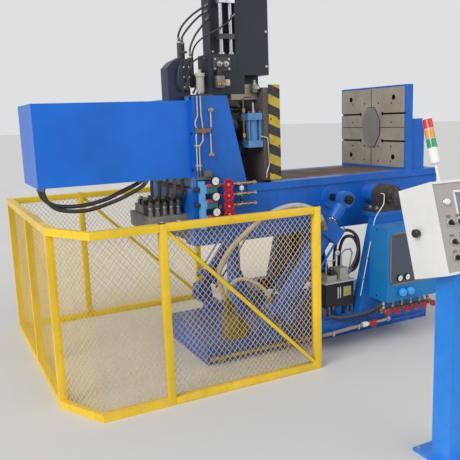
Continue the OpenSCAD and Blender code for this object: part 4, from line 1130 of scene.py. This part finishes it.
rod_nut = turned([(0, 0.042), (0.003, 0.045), (0.030, 0.045), (0.034, 0.040)], 6, 20)
rod_nuts = copies(painted(rod_nut, dark_steel), [((moving_platen_x, y, z), leftward) for y, z in guides])
settle("platen_rod_nuts", [rod_hub, *rod_nuts], "moving_platen_group")
print("rings and nuts on", len(guides) + 1, "rods")

# %% Screw the striped guard
guard_low, guard_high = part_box("hazard_guard")
guard_xs = (guard_low[0] + 0.014, guard_high[0] - 0.014)
guard_heights = (*(guard_low[2] + rise for rise in (0.05, 0.25, 0.45)), guard_high[2] - 0.04)
guard_places = [((x, guard_low[1] + 0.0005, z), front) for x in guard_xs for z in guard_heights]
settle("hazard_guard_screws", copies(socket_screw(0.006), guard_places), "moving_platen_group")
print("guard screws:", len(guard_places))

# %% [markdown]
# ## The air cabinet's door
# The door has a dark window with rounded corners in a brown rubber seal; the pane is opaque and dark,
# so nothing shows behind it. Below it stand two gauges and two pale blue regulator knobs. The pane
# is a plane whose corners are bevelled, then inset for the seal and extruded for thickness.


# %% Glaze the door
def rounded_pane(width, height, corner_r, thick, border, pane_finish, border_finish):
    """A rounded pane in the XZ plane, facing -Y, its middle at the origin, with a raised border."""
    piece = grab("plane", size=1)
    piece.scale = (width, height, 1)
    bpy.ops.object.transform_apply(scale=True)
    piece.data.materials.append(pane_finish)
    piece.data.materials.append(border_finish)
    bpy.ops.object.mode_set(mode="EDIT")
    bpy.ops.mesh.select_all(action="SELECT")
    bpy.ops.mesh.bevel(offset=corner_r, segments=6, affect="VERTICES")
    bpy.ops.mesh.select_all(action="SELECT")
    bpy.ops.mesh.extrude_region_move(TRANSFORM_OT_translate={"value": (0, 0, thick)})
    bpy.ops.mesh.inset(thickness=border)
    bpy.ops.mesh.extrude_region_move(TRANSFORM_OT_translate={"value": (0, 0, -thick * 0.45)})
    bpy.ops.mesh.select_all(action="SELECT")
    bpy.ops.mesh.normals_make_consistent(inside=False)
    bpy.ops.object.mode_set(mode="OBJECT")
    inner_w, inner_h = width / 2 - border * 0.99, height / 2 - border * 0.99
    for face in piece.data.polygons:
        inside = abs(face.center.x) < inner_w and abs(face.center.y) < inner_h and face.normal.z > 0.9
        face.material_index = 0 if inside else 1
    piece.rotation_euler = (math.pi / 2, 0, 0)
    bpy.ops.object.transform_apply(rotation=True)
    return piece


door_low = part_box("cabinet_door")[0]
cabinet_low, cabinet_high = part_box("cabinet")
pane_w, pane_h, pane_rise = 0.524, 0.409, 0.3325
pane = rounded_pane(pane_w, pane_h, 0.048, 0.006, 0.011, window_glass, seal_brown)
pane.location = ((cabinet_low[0] + cabinet_high[0]) / 2, door_low[1] + 0.0035, door_low[2] + pane_rise)
settle("cabinet_window", [pane], "cabinet_door")
print("door window", pane_w, "by", pane_h, "m")

# %% Fit the door's gauges and knobs and the cabinet's screws
dial_z, regulator_z = 0.5755, 0.465
low_dials = [aim(gauge(0.026, spin), (x, door_low[1] - 0.006, dial_z), front)
             for x, spin in ((-0.113, 0.4), (-0.038, -0.7))]
settle("cabinet_gauges", low_dials, "cabinet_door")
regulator = turned([(0, 0.016), (0.010, 0.016), (0.011, 0.029), (0.016, 0.031), (0.034, 0.031),
                    (0.042, 0.027), (0.045, 0.018)], 28)
regulator_places = [((x, door_low[1] + 0.001, regulator_z), front) for x in (-0.100, -0.022)]
settle("cabinet_knobs", copies(painted(regulator, blue_plastic), regulator_places), "cabinet_door")
screw_y, screw_heights = cabinet_low[1] + 0.118, (0.430, 0.950)
side_screws = [((cabinet_low[0] + 0.0005, screw_y, z), leftward) for z in screw_heights]
side_screws += [((cabinet_high[0] - 0.0005, screw_y, z), rightward) for z in screw_heights]
settle("cabinet_screws", copies(socket_screw(0.006), side_screws), "base")
print("cabinet dressed with", len(low_dials), "gauges")

# %% [markdown]
# ## The air cabinet's valve row
# Under the cabinet six lines come out, each through a cream fitting and a small valve with a red
# scalloped handle. The frame holds the bar and discs; here they get unions and handle fingers.

# %% Dress the valve row
valve_xs = [-0.185 + step * 0.092 for step in range(6)]
bar_y, bar_z, finger_ring = -0.835, 0.300, 0.019
finger_angles = [math.radians(72 * finger + 18) for finger in range(5)]
fingers = [(x + finger_ring * math.cos(a), bar_z + finger_ring * math.sin(a)) for x in valve_xs
           for a in finger_angles]
grip = turned([(0, 0.0085), (0.004, 0.0085), (0.007, 0.0060)], 12)
grip_places = [((x, valves_low[1] + 0.001, z), front) for x, z in fingers]
settle("valve_grips", copies(painted(grip, wheel_red), grip_places), "base")
valve_union = turned([(0, 0.0125), (0.002, 0.0145), (0.011, 0.0145), (0.013, 0.0125)], 6, 20)
valve_union_places = [((x, bar_y, z), upward) for x in valve_xs for z in (0.335, 0.372)]
settle("valve_unions", copies(painted(valve_union, brass), valve_union_places), "base")
bar_cap = turned([(-0.014, 0.021), (0.004, 0.021), (0.010, 0.016)], 6, 20)
bar_ends = ((valves_low[0] + 0.001, leftward), (valves_high[0] - 0.001, rightward))
bar_cap_places = [((x, bar_y, bar_z), outward) for x, outward in bar_ends]
settle("valve_bar_caps", copies(painted(bar_cap, brass), bar_cap_places), "base")
print("valve grips:", len(grip_places))

# %% [markdown]
# ## The operator console
# The console's panel leans back. It carries a screen behind glass, a white push button and rows
# of black selector switches with silver collars and blank tags; on its side is a black knob.
# Everything is placed in the panel's own axes: across, out of the face, and up.

# %% Find the console's axes
console_x, console_y, console_z, console_lean = -1.107, -2.344, 1.044, math.radians(-16.5)
lean_back = Matrix.Translation((console_x, console_y, console_z)) @ Matrix.Rotation(console_lean, 4, "X")


def on_console(piece, across, out, rise, along=(0, -1, 0), spin=0.0):
    aim(piece, (across, out, rise), along, spin)
    piece.matrix_world = lean_back @ piece.matrix_world
    return piece


panel_y = -0.008
collar = [(0, 0.0185), (0.003, 0.0185), (0.006, 0.0150), (0.007, 0.0120)]
selector_spots = [(across, rise) for across in (0.081, 0.146) for rise in (0.251, 0.157, 0.078)]
controls = []
for across, rise in selector_spots:
    selector = turned([(0.006, 0.0125), (0.012, 0.0125), (0.016, 0.0110)], 20)
    lever = plate((-0.0045, -0.0150, 0.014), (0.0045, 0.0150, 0.028), 0.002)
    tag = plate((-0.014, 0.026, 0), (0.014, 0.038, 0.0015), 0.0005, 1)
    controls.append(on_console(painted(turned(collar, 24), zinc), across, panel_y, rise))
    controls.append(on_console(painted(selector, black_plastic), across, panel_y, rise))
    controls.append(on_console(painted(lever, black_plastic), across, panel_y, rise, spin=0.5))
    controls.append(on_console(painted(tag, seal_brown), across, panel_y, rise))
settle("console_selectors", controls, "base")
print("selectors on the console:", len(selector_spots))

# %% Fit the screen and the buttons
screen_w, screen_h, screen_x, screen_z = 0.226, 0.176, 0.257, 0.322
screen = rounded_pane(screen_w, screen_h, 0.006, 0.004, 0.012, screen_glass, white_plastic)
screen.matrix_world = lean_back @ Matrix.Translation((screen_x, panel_y + 0.0055, screen_z))
settle("console_screen", [screen], "base")
push_x, push_z = 0.085, 0.355
push_collar = painted(turned([(0, 0.0205), (0.003, 0.0205), (0.006, 0.0175)], 24), zinc)
push_cap = painted(turned([(0.004, 0.0155), (0.014, 0.0155), (0.017, 0.0130)], 24), white_plastic)
buttons = [on_console(part, push_x, panel_y, push_z) for part in (push_collar, push_cap)]
upper_row, lower_row = 0.157, 0.078
for across, finish in ((0.215, lens_green), (0.285, lens_amber), (0.355, wheel_red)):
    for rise in (upper_row, lower_row):
        buttons.append(on_console(painted(turned(collar, 24), zinc), across, panel_y, rise))
        button_cap = turned([(0.004, 0.0115), (0.012, 0.0115), (0.014, 0.0095)], 20)
        colour = finish if rise == upper_row else black_plastic
        buttons.append(on_console(painted(button_cap, colour), across, panel_y, rise))
settle("console_buttons", buttons, "base")
print("screen", screen_w, "by", screen_h, "m and", len(buttons) // 2, "buttons")

# %% Fit the knob, the hinges and the anchor bolts
side_knob = [(0, 0.014), (0.010, 0.014), (0.011, 0.020), (0.015, 0.022), (0.030, 0.021), (0.034, 0.017)]
knob_out, knob_rise = 0.123, 0.229
console_knob = on_console(painted(turned(side_knob, 30), black_plastic), 0.0, knob_out, knob_rise, leftward)
settle("console_knob", [console_knob], "base")
hinges = [painted(plate((-0.006, -0.004, -0.030), (0.006, 0.012, 0.030), 0.002), zinc) for _ in range(2)]
for hinge, rise in zip(hinges, (0.09, 0.37)):
    on_console(hinge, 0.452, 0.004, rise, upward)
settle("console_hinges", hinges, "base")
post_x, post_y, foot_plate_t = console_x + 0.095, console_y + 0.035, 0.016
anchor_places = [((post_x + x, post_y + y, foot_plate_t), upward) for x in (-0.030, 0.230)
                 for y in (-0.065, 0.185)]
settle("console_anchor_bolts", copies(hex_bolt(0.012), anchor_places), "base")
print("anchor bolts of the console:", len(anchor_places))

# %% [markdown]
# ## The signal lamp
# A lamp with three lenses stands on the console: green, amber and red between a white base and
# cap. Each lens is ribbed like the real one, so it is turned with many small steps.
# The frame's plain lamp is hidden and this one stands for it. The frame's plain lamp stays for
# collision and this one stands for it.


# %% Turn the signal lamp
def lens(foot, tall, radius, finish):
    steps = [(foot, radius * 0.96)]
    for rib in range(6):
        base_z = foot + tall * (rib + 0.15) / 6
        steps += [(base_z, radius), (base_z + tall / 12, radius * 0.965)]
    return painted(turned([*steps, (foot + tall, radius * 0.96)], 32, 30), finish)


def white_part(steps, sides=32):
    return painted(turned(steps, sides), white_plastic)


lamp_r = 0.025
lamp_parts = [
    white_part([(0, 0.020), (0.006, 0.020), (0.008, 0.0075), (0.100, 0.0070)], 24),
    white_part([(0.098, 0.018), (0.104, lamp_r), (0.176, lamp_r), (0.180, 0.0235), (0.182, 0.0235)]),
    lens(0.182, 0.046, lamp_r, lens_green),
    white_part([(0.228, 0.0225), (0.232, 0.0225)]),
    lens(0.232, 0.046, lamp_r, lens_amber),
    white_part([(0.278, 0.0225), (0.282, 0.0225)]),
    lens(0.282, 0.047, lamp_r, lens_red),
    white_part([(0.329, 0.0245), (0.331, lamp_r), (0.334, 0.024), (0.341, 0.016), (0.3435, 0.006)]),
]
lamp_foot = Matrix.Translation((0.130, 0.055, 0.460))
for part in lamp_parts:
    part.matrix_world = lean_back @ lamp_foot
signal_lamp = settle("signal_lamp", lamp_parts, "base")
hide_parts("signal_tower")
print("lamp of", len(lamp_parts), "turned parts")

# %% [markdown]
# ## The power unit
# Beside the stand a small black tank holds the oil. It has two sight strips, a blank yellowish
# plate, a gauge on a thin pipe, a filter bowl underneath, and a lid with bolts.

# %% Dress the power unit
tank_front, strip_xs = -0.680, (-0.516, -0.494)
strips = [painted(plate((x, tank_front - 0.007, 0.414), (x + 0.012, tank_front, 0.506), 0.0015), zinc)
          for x in strip_xs]
strip_panes = [plate((x + 0.0035, tank_front - 0.009, 0.424), (x + 0.0085, tank_front - 0.005, 0.496), 0.001)
               for x in strip_xs]
settle("unit_sight_strips", [*strips, *(painted(pane, white_plastic) for pane in strip_panes)], "base")
blank = painted(plate((-0.456, tank_front - 0.003, 0.424), (-0.382, tank_front, 0.500), 0.001), plate_yellow)
settle("unit_blank_plate", [blank], "base")
lid_spots = [(x, y) for x in (unit_low[0] + 0.014, -0.361) for y in (-0.676, -0.484)]
lid_places = [((x, y, plate_z + 0.0100), upward) for x, y in lid_spots]
settle("unit_lid_bolts", copies(hex_bolt(0.007), lid_places), "base")
print("unit tank front at", tank_front)

# %% Fit its gauge, filter and valve coil
stem_x, stem_y, stem_top = -0.560, -0.600, 0.700
unit_gauge_x, unit_gauge_z = -0.470, 0.765
stem_line = cornered([(stem_x, stem_y, 0.588), (stem_x, stem_y, stem_top), (unit_gauge_x, stem_y, stem_top),
                      (unit_gauge_x, stem_y, 0.745)], 0.018)
stem = drawn(stem_line, 0.010, zinc, 2)
unit_gauge = aim(gauge(0.026, 0.3), (unit_gauge_x, stem_y - 0.022, unit_gauge_z), front)
settle("unit_gauge", [stem, unit_gauge], "base")
bowl_steps = [(0, 0.030), (0.006, 0.044), (0.040, 0.047), (0.056, 0.047), (0.058, 0.050), (0.073, 0.050)]
bowl = aim(painted(turned(bowl_steps, 28), frame_blue), (-0.482, -0.620, unit_low[2] + 0.0025), upward)
settle("unit_filter_bowl", [bowl], "base")
unit_coil = painted(plate((-0.540, -0.640, 0.590), (-0.500, -0.580, 0.632), 0.004), black_plastic)
connector = painted(plate((-0.530, -0.625, 0.632), (-0.510, -0.595, 0.655), 0.003), block_iron)
settle("unit_coil", [unit_coil, connector], "base")
print("stem of", round(line_length(stem_line), 2), "m carries the unit's gauge")

# %% [markdown]
# ## The pipe along the base
# A tan pipe runs low along the front of the base, then rises and goes on along the front of the
# stand's beam, held by clips. There it passes a white collar and a valve with a red wheel and
# silver unions.


# %% Run the base pipe
def on_pipe(x):
    """The middle of the pipe in front of the beam, where it climbs a little to the right."""
    return Vector((x, beam_y, rise_z + (x - rise_x) * pipe_lift))


pipe_y, pipe_z, beam_y = -0.486, 0.056, -0.747
rise_x, rise_z, pipe_lift = -0.671, 0.166, 0.0467
pipe_route = [Vector((-1.530, pipe_y, pipe_z)), Vector((-0.770, pipe_y, pipe_z)), on_pipe(rise_x),
              Vector((-0.310, beam_y, 0.183))]
run = drawn(cornered(pipe_route, 0.045), 0.028, pipe_tan)
low_clip = painted(plate((-0.008, 0.0, -0.020), (0.008, 0.034, 0.020), 0.002), zinc)
low_clips = copies(low_clip, [((x, pipe_y, pipe_z), upward) for x in (-1.45, -1.16, -0.87)])
high_clip = painted(plate((-0.008, 0.0, -0.020), (0.008, 0.0225, 0.020), 0.002), zinc)
high_clips = copies(high_clip, [(on_pipe(x), upward) for x in (-0.61, -0.37, -0.072)])
settle("base_pipe", [run, *low_clips, *high_clips], "base")
print("base pipe on", len(low_clips) + len(high_clips), "clips")

# %% Fit its valve
pipe_valve_x = -0.231
collar_steps = [(-0.024, 0.016), (-0.021, 0.021), (0.021, 0.021), (0.024, 0.016)]
white_collar = aim(painted(turned(collar_steps, 24), white_plastic), on_pipe(-0.298), rightward)
body_steps = [(-0.065, 0.011), (-0.050, 0.014), (-0.026, 0.021), (0.026, 0.021), (0.050, 0.013),
              (0.190, 0.011), (0.196, 0.008)]
valve_body = aim(painted(turned(body_steps, 20), zinc), on_pipe(pipe_valve_x), rightward)
pipe_nut = painted(turned([(-0.014, 0.013), (-0.012, 0.018), (0.012, 0.018), (0.014, 0.013)], 6, 20), zinc)
pipe_nuts = copies(pipe_nut, [(on_pipe(x), rightward) for x in (-0.188, -0.152, -0.118, -0.078)])
handle_steps = [(0, 0.009), (0.020, 0.009), (0.021, 0.024), (0.024, 0.030), (0.033, 0.030), (0.037, 0.024),
                (0.037, 0.010), (0.042, 0.008)]
handle = aim(painted(turned(handle_steps, 16), wheel_red), on_pipe(pipe_valve_x), front)
settle("base_pipe_valve", [white_collar, valve_body, *pipe_nuts, handle], "base")
print("base pipe with its valve at", [round(v, 3) for v in on_pipe(pipe_valve_x)])

# %% [markdown]
# ## Valves at the bed's end and on the head
# Solenoid valves crowd the bed's left end and the head: dark bodies with square coils, pale
# connectors and silver caps. The frame holds their blocks, and these copies give them their
# small parts.

# %% Fill the valve cluster
cluster_low, cluster_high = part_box("valve_cluster")
cluster_x, cluster_y, coil_top = cluster_low[0], cluster_low[1], cluster_high[2]
coil_xs = [cluster_x + 0.043 + step * 0.068 for step in range(4)]
coil_spots = [(x, y) for x in coil_xs for y in (cluster_y + 0.275, cluster_y + 0.365)]
coil_places = [((x, y, coil_top - 0.001), upward) for x, y in coil_spots]
cluster_coil = painted(plate((-0.021, -0.028, 0), (0.021, 0.028, 0.036), 0.004), black_plastic)
settle("cluster_coils", copies(cluster_coil, coil_places), "bed")
plug_places = [((x, y, coil_top + 0.034), upward) for x, y in coil_spots]
cluster_plug = painted(plate((-0.013, -0.020, 0), (0.013, 0.020, 0.022), 0.004), beige_plastic)
settle("cluster_plugs", copies(cluster_plug, plug_places), "bed")
cap_steps = [(0, 0.013), (0.002, 0.0165), (0.014, 0.0165), (0.016, 0.013)]
cap_xs = [cluster_x + 0.022 + step * 0.054 for step in range(5)]
cluster_caps = [((x, cluster_y + 0.106, cluster_low[2] + 0.165), upward) for x in cap_xs]
settle("cluster_caps", copies(painted(turned(cap_steps, 6, 20), zinc), cluster_caps), "bed")
bosses = [((cluster_x + 0.060 + step * 0.130, cluster_y - 0.001, cluster_low[2] + 0.066), front)
          for step in range(2)]
settle("cluster_ports", copies(hex_bolt(0.020), bosses), "bed")
print("coils in the cluster:", len(coil_places))

# %% Dress the head valves
head_x, head_plate, block_front_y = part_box("head_valves")[0][0], 2.000, -0.2595
block_spots = [(head_x + x, head_plate + z) for x in (0.021, 0.061) for z in (0.060, 0.130, 0.200)]
block_places = [((x, block_front_y, z), front) for x, z in block_spots]
settle("head_block_screws", copies(socket_screw(0.007, zinc), block_places), "bed")
head_cap = painted(turned([(0, 0.015), (0.003, 0.019), (0.012, 0.019), (0.015, 0.015)], 18), zinc)
head_cap_places = [((head_x + 0.022 + step * 0.046, -0.200 + step * 0.060, head_plate + 0.3695), upward)
                   for step in range(2)]
settle("head_caps", copies(head_cap, head_cap_places), "bed")
jar_steps = [(0, 0.031), (0.006, 0.0325), (0.016, 0.0325), (0.020, 0.0305)]
jar = aim(painted(turned(jar_steps, 28), dark_steel), (-1.436, -0.300, head_plate), upward)
settle("lube_jar_foot", [jar], "bed")
tower_low, tower_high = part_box("core_tower")
panel_bolts = [((tower_low[0] + 0.020, -0.2505, z), front) for z in (2.31, 2.24, 2.12, 2.06)]
panel_bolts += [((tower_high[0] - 0.02, tower_low[1] - 0.0005, z), front) for z in (2.20, 2.45, 2.70)]
settle("tower_screws", copies(hex_bolt(0.010), panel_bolts), "moving_platen_group")
print("screws on the head and the tower:", len(block_places) + len(panel_bolts))

# %% [markdown]
# ## The side cylinder's pipes
# A brown copper pipe with brass unions feeds the small blue cylinder beside the platen, and a
# bent steel line runs down on its other side. They ride with the platen.

# %% Pipe the side cylinder
copper_x, copper_y, steel_y = -1.158, -0.428, -0.450
copper_line = cornered([(-1.095, copper_y, 1.974), (copper_x, copper_y, 1.974), (copper_x, copper_y, 1.655),
                        (-1.105, copper_y, 1.645)], 0.016)
copper = drawn(copper_line, 0.012, hose_brown, 2)
pipe_union = turned([(-0.016, 0.009), (-0.013, 0.012), (0.013, 0.012), (0.016, 0.009)], 6, 20)
pipe_unions = copies(painted(pipe_union, brass), [((copper_x, copper_y, z), upward) for z in (1.880, 1.700)])
steel_line = cornered([(-1.030, -0.436, 1.690), (-0.972, steel_y, 1.676), (-0.963, steel_y, 1.470),
                       (-0.986, steel_y, 1.420), (-0.990, steel_y, 1.380)], 0.018)
settle("side_cylinder_pipe", [copper, *pipe_unions, drawn(steel_line, 0.010, zinc, 2)], "moving_platen_group")
print("copper pipe of", round(line_length(copper_line), 2), "m")

# %% Cap the side cylinder
cap_y_mid, cap_z = -0.380, 1.8605
cap_nuts = [((-1.065 + side * 0.046, cap_y_mid + over * 0.042, cap_z), upward) for side in (-1, 1)
            for over in (-1, 1)]
stub_steps = [(0, 0.011), (0.002, 0.018), (0.012, 0.018), (0.014, 0.009), (0.075, 0.009), (0.077, 0.006)]
stub = aim(painted(turned(stub_steps, 18), zinc), (-1.052, cap_y_mid, cap_z), upward)
settle("side_cylinder_nuts", [stub, *copies(tie_nut(0.009), cap_nuts)], "moving_platen_group")
print("nuts on the side cylinder:", len(cap_nuts))

# %% [markdown]
# ## The core puller's foot
# Under the tower sits a block full of small fittings: a bolted flange, two hydraulic ports with
# hexagons, a little valve with its coil, and a second one beside the arm. Small parts in steel,
# brass and black break up the dark block as they do on the machine.

# %% Fit the flange and its ports
foot_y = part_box("core_base")[0][1]
flange_y, port_z = foot_y - 0.012, 2.214
flange_plate = painted(plate((-1.355, flange_y, 2.165), (-1.215, foot_y, 2.262), 0.002), machine_iron)
plate_bolts = copies(hex_bolt(0.008), [((x, flange_y, z), front) for x in (-1.340, -1.230)
                                       for z in (2.180, 2.247)])
port = turned([(0, 0.021), (0.010, 0.021), (0.011, 0.016), (0.026, 0.016), (0.028, 0.010), (0.046, 0.009)],
              6, 20)
ports = copies(painted(port, zinc), [((x, flange_y, port_z), front) for x in (-1.310, -1.258)])
settle("foot_flange", [flange_plate, *plate_bolts, *ports], "moving_platen_group")
print("core puller's foot at y", round(foot_y, 3))

# %% Fit the two small valves
small_valve = painted(plate((-1.352, foot_y - 0.050, 2.045), (-1.285, foot_y, 2.130), 0.004), dull_steel)
coil_steps = [(0, 0.020), (0.002, 0.022), (0.048, 0.022), (0.052, 0.016), (0.060, 0.009)]
valve_coil = aim(painted(turned(coil_steps, 20), black_plastic), (-1.318, foot_y - 0.028, 2.130), upward)
valve_plug = painted(plate((-1.275, foot_y - 0.034, 2.060), (-1.235, foot_y, 2.105), 0.004), beige_plastic)
stub = painted(turned([(0, 0.012), (0.002, 0.014), (0.014, 0.014), (0.018, 0.008), (0.026, 0.008)], 6, 20),
               brass)
stubs = copies(stub, [((x, foot_y - 0.050, 2.070), front) for x in (-1.337, -1.303)])
settle("foot_valve", [small_valve, valve_coil, valve_plug, *stubs], "moving_platen_group")
arm_low, arm_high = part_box("core_arm")
arm_front, arm_top = arm_low[1], arm_high[2]
arm_valve = plate((-1.060, arm_front - 0.052, arm_top - 0.062), (-1.004, arm_front, arm_top - 0.004), 0.004)
arm_port = turned([(0, 0.012), (0.002, 0.015), (0.014, 0.015), (0.018, 0.009), (0.034, 0.008)], 6, 20)
arm_port_places = [((-1.032, arm_front - 0.050, arm_top - 0.030), front),
                   ((-1.032, arm_front - 0.026, arm_top - 0.006), upward),
                   ((-1.002, arm_front - 0.026, arm_top - 0.034), rightward)]
arm_ports = copies(painted(arm_port, zinc), arm_port_places)
settle("arm_valve", [painted(arm_valve, dull_steel), *arm_ports], "moving_platen_group")
print("ports on the foot and the arm:", len(ports) + len(stubs) + len(arm_ports))

# %% [markdown]
# ## Hoses
# Rubber hoses feed everything that moves. Two pale ones arch from the pump to the tilt cylinder,
# dark ones hang under the cover, and thin ones droop from the core puller. Each is drawn through
# points read off the photograph at the depth of what it hangs from, and the ones that cross a
# joint have one end fitting on each of its two bodies.

# %% Hang the pump hoses
pump_top = 0.404
big_points = [(-1.328, -0.385, pump_top + 0.012), (-1.375, -0.395, 0.56), (-1.400, -0.420, 0.71),
              (-1.335, -0.450, 0.85), (-1.240, -0.490, 0.96), (-1.110, -0.535, 1.07),
              (-0.990, -0.580, 1.145), (-0.860, -0.625, 1.175), (-0.755, -0.675, 1.150),
              (-0.690, -0.715, 1.080), (-0.660, -0.722, 0.995)]
big = hose("pump_hose_big", big_points, 0.040, hose_beige, "base", "front_tilt_barrel")
small_points = [(-1.284, -0.385, pump_top + 0.012), (-1.320, -0.395, 0.50), (-1.325, -0.430, 0.58),
                (-1.270, -0.470, 0.635), (-1.205, -0.520, 0.635), (-1.140, -0.570, 0.590),
                (-1.100, -0.610, 0.530), (-1.078, -0.620, 0.455)]
small = hose("pump_hose_small", small_points, 0.030, hose_beige, "base", "front_tilt_barrel")
print("pump hoses of", big, "and", small, "m")

# %% Hang the hoses under the cover
upper_points = [(-2.622, -0.318, 1.452), (-2.626, -0.322, 1.405), (-2.606, -0.328, 1.352),
                (-2.531, -0.330, 1.299), (-2.373, -0.330, 1.284), (-2.207, -0.330, 1.309),
                (-2.091, -0.330, 1.352), (-1.960, -0.336, 1.406), (-1.925, -0.352, 1.448)]
upper = hose("cover_hose_upper", upper_points, 0.029, hose_black, "bed")
lower_points = [(-2.612, -0.362, 1.452), (-2.611, -0.360, 1.400), (-2.585, -0.357, 1.330),
                (-2.511, -0.356, 1.272), (-2.339, -0.356, 1.252), (-2.157, -0.356, 1.292),
                (-2.040, -0.358, 1.334), (-1.930, -0.360, 1.390), (-1.893, -0.362, 1.444)]
lower = hose("cover_hose_lower", lower_points, 0.027, hose_black, "bed")
print("cover hoses of", upper, "and", lower, "m")

# %% Drop the short hoses onto the valve cluster
cover_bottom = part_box("cylinder_cover")[0][2]
drop_ends = [-1.858 + step * 0.054 for step in range(5)]
for step, end_x in enumerate(drop_ends, 1):
    top_x = end_x - 0.008 + step * 0.004
    points = [(top_x, -0.352, cover_bottom + 0.034), (top_x - 0.006, -0.356, 1.380),
              (top_x - 0.002, -0.338, 1.310), (end_x - 0.004, -0.292, 1.260), (end_x, -0.270, 1.222)]
    rubber = hose_brown if step == 4 else hose_black
    hose(f"drop_hose_{step}", points, 0.020 + 0.003 * (step % 3), rubber, "bed")
print("drops under the cover:", len(drop_ends))

# %% Hang the core puller's hoses
loops = [
    [(-1.543, -0.200, 2.388), (-1.549, -0.205, 2.425), (-1.520, -0.215, 2.490), (-1.450, -0.222, 2.560),
     (-1.385, -0.230, 2.605), (-1.326, -0.236, 2.640)],
    [(-1.497, -0.140, 2.388), (-1.497, -0.155, 2.425), (-1.455, -0.190, 2.490), (-1.390, -0.210, 2.555),
     (-1.326, -0.228, 2.600)],
    [(-1.470, -0.220, 2.283), (-1.468, -0.222, 2.340), (-1.430, -0.226, 2.420), (-1.375, -0.232, 2.490),
     (-1.326, -0.238, 2.548)],
    [(-1.436, -0.152, 2.158), (-1.434, -0.160, 2.240), (-1.430, -0.200, 2.340), (-1.385, -0.260, 2.405),
     (-1.300, -0.335, 2.455), (-1.220, -0.358, 2.510), (-1.168, -0.350, 2.560)],
    [(-1.390, -0.300, 2.252), (-1.430, -0.305, 2.262), (-1.490, -0.312, 2.230), (-1.522, -0.305, 2.160),
     (-1.526, -0.274, 2.105)],
    [(-1.390, -0.240, 2.180), (-1.425, -0.262, 2.150), (-1.452, -0.285, 2.095), (-1.470, -0.290, 2.050),
     (-1.476, -0.262, 2.020)],
]
for step, points in enumerate(loops, 1):
    bodies = ("bed", "moving_platen_group") if step < 5 else ("moving_platen_group", "bed")
    hose(f"core_hose_{step}", points, 0.015 if step < 4 else 0.012, hose_black, *bodies)
loop_points = [(-1.545, -0.264, 2.215), (-1.566, -0.300, 2.240), (-1.600, -0.325, 2.200),
               (-1.615, -0.332, 2.115), (-1.602, -0.325, 2.045), (-1.575, -0.290, 2.016)]
hose("head_loop", loop_points, 0.013, hose_black, "bed")
print("core puller hoses:", len(loops))

# %% Lay the hoses beside the stand
unit_loops = [
    [(-0.330, -0.432, 0.166), (-0.345, -0.470, 0.450), (-0.360, -0.500, 0.720), (-0.335, -0.530, 0.850),
     (-0.285, -0.580, 0.860), (-0.265, -0.620, 0.780), (-0.300, -0.640, 0.700), (-0.352, -0.640, 0.620),
     (-0.380, -0.640, 0.600)],
    [(-0.400, -0.432, 0.166), (-0.400, -0.475, 0.450), (-0.405, -0.500, 0.740), (-0.370, -0.520, 0.890),
     (-0.310, -0.570, 0.915), (-0.262, -0.610, 0.850), (-0.258, -0.620, 0.700), (-0.300, -0.615, 0.610),
     (-0.378, -0.595, 0.585)],
]
for step, points in enumerate(unit_loops, 1):
    hose(f"unit_hose_{step}", points, 0.026, hose_black, "base")
high_points = [(-0.600, -0.690, 0.352), (-0.640, -0.740, 0.330), (-0.600, -0.752, 0.300),
               (-0.500, -0.755, 0.283), (-0.340, -0.757, 0.281), (-0.240, -0.762, 0.290),
               (-0.160, -0.785, 0.330), (-0.115, -0.810, 0.385)]
hose("beam_hose_upper", high_points, 0.016, hose_brown, "base", lay="loose")
low_points = [(-0.560, -0.690, 0.352), (-0.600, -0.735, 0.315), (-0.560, -0.745, 0.262),
              (-0.450, -0.738, 0.240), (-0.340, -0.738, 0.238), (-0.230, -0.745, 0.262),
              (-0.150, -0.785, 0.320), (-0.085, -0.815, 0.385)]
hose("beam_hose_lower", low_points, 0.014, hose_black, "base", lay="loose")
print("hoses beside the stand laid")

# %% [markdown]
# ## Floor, backdrop and lamps
# A pale floor catches the shadow, and a pale sky seen only by the camera and by shiny metal
# stands in for the room. One wide soft lamp from the upper left lights the left ends brightly,
# and a weaker one fills from the right.

# %% Lay the floor
clear_pick()
bpy.ops.mesh.primitive_plane_add(size=160, location=(0, 60, 0))
floor = bpy.context.object
floor.name = "floor"
made, tree, shader, where = start("pale_floor")
tree.links.new(blend(tree, noise(tree, where, 0.6, 6), (0.62, 0.61, 0.60), (0.69, 0.68, 0.67)),
               shader.inputs["Base Color"])
shader.inputs["Roughness"].default_value = 0.85
shader.inputs["Specular IOR Level"].default_value = 0.2
floor.data.materials.append(made)

world = bpy.data.worlds.new("backdrop")
bpy.context.scene.world = world
world.use_nodes = True
tree = world.node_tree
sky = tree.nodes["Background"]
path = add(tree, "LightPath").outputs
seen = times(tree, path["Is Camera Ray"], times(tree, path["Is Glossy Ray"], 0.30), "MAXIMUM")
seen = times(tree, seen, path["Is Transmission Ray"], "MAXIMUM")
tree.links.new(grade(tree, seen, 0, 1, 0.55, 0.76), sky.inputs["Strength"])
sky.inputs["Color"].default_value = (0.97, 0.98, 1.0, 1)
print("floor", floor.dimensions[0], "m wide")


# %% Hang the lamps
def sunlight(name, towards, strength, softness):
    """Light from far away: `towards` points from the machine to the lamp."""
    clear_pick()
    bpy.ops.object.light_add(type="SUN", location=Vector(towards) * 8)
    made = bpy.context.object
    made.name = name
    made.data.energy, made.data.angle = strength, math.radians(softness)
    made.rotation_euler = Vector(towards).to_track_quat("Z", "Y").to_euler()
    return made


sunlight("left_light", (-0.78, -0.34, 0.52), 2.05, 38)
sunlight("fill_light", (0.45, -0.75, 0.50), 0.64, 60)
bpy.context.scene.view_settings.view_transform = "Standard"
print("two lights hung")
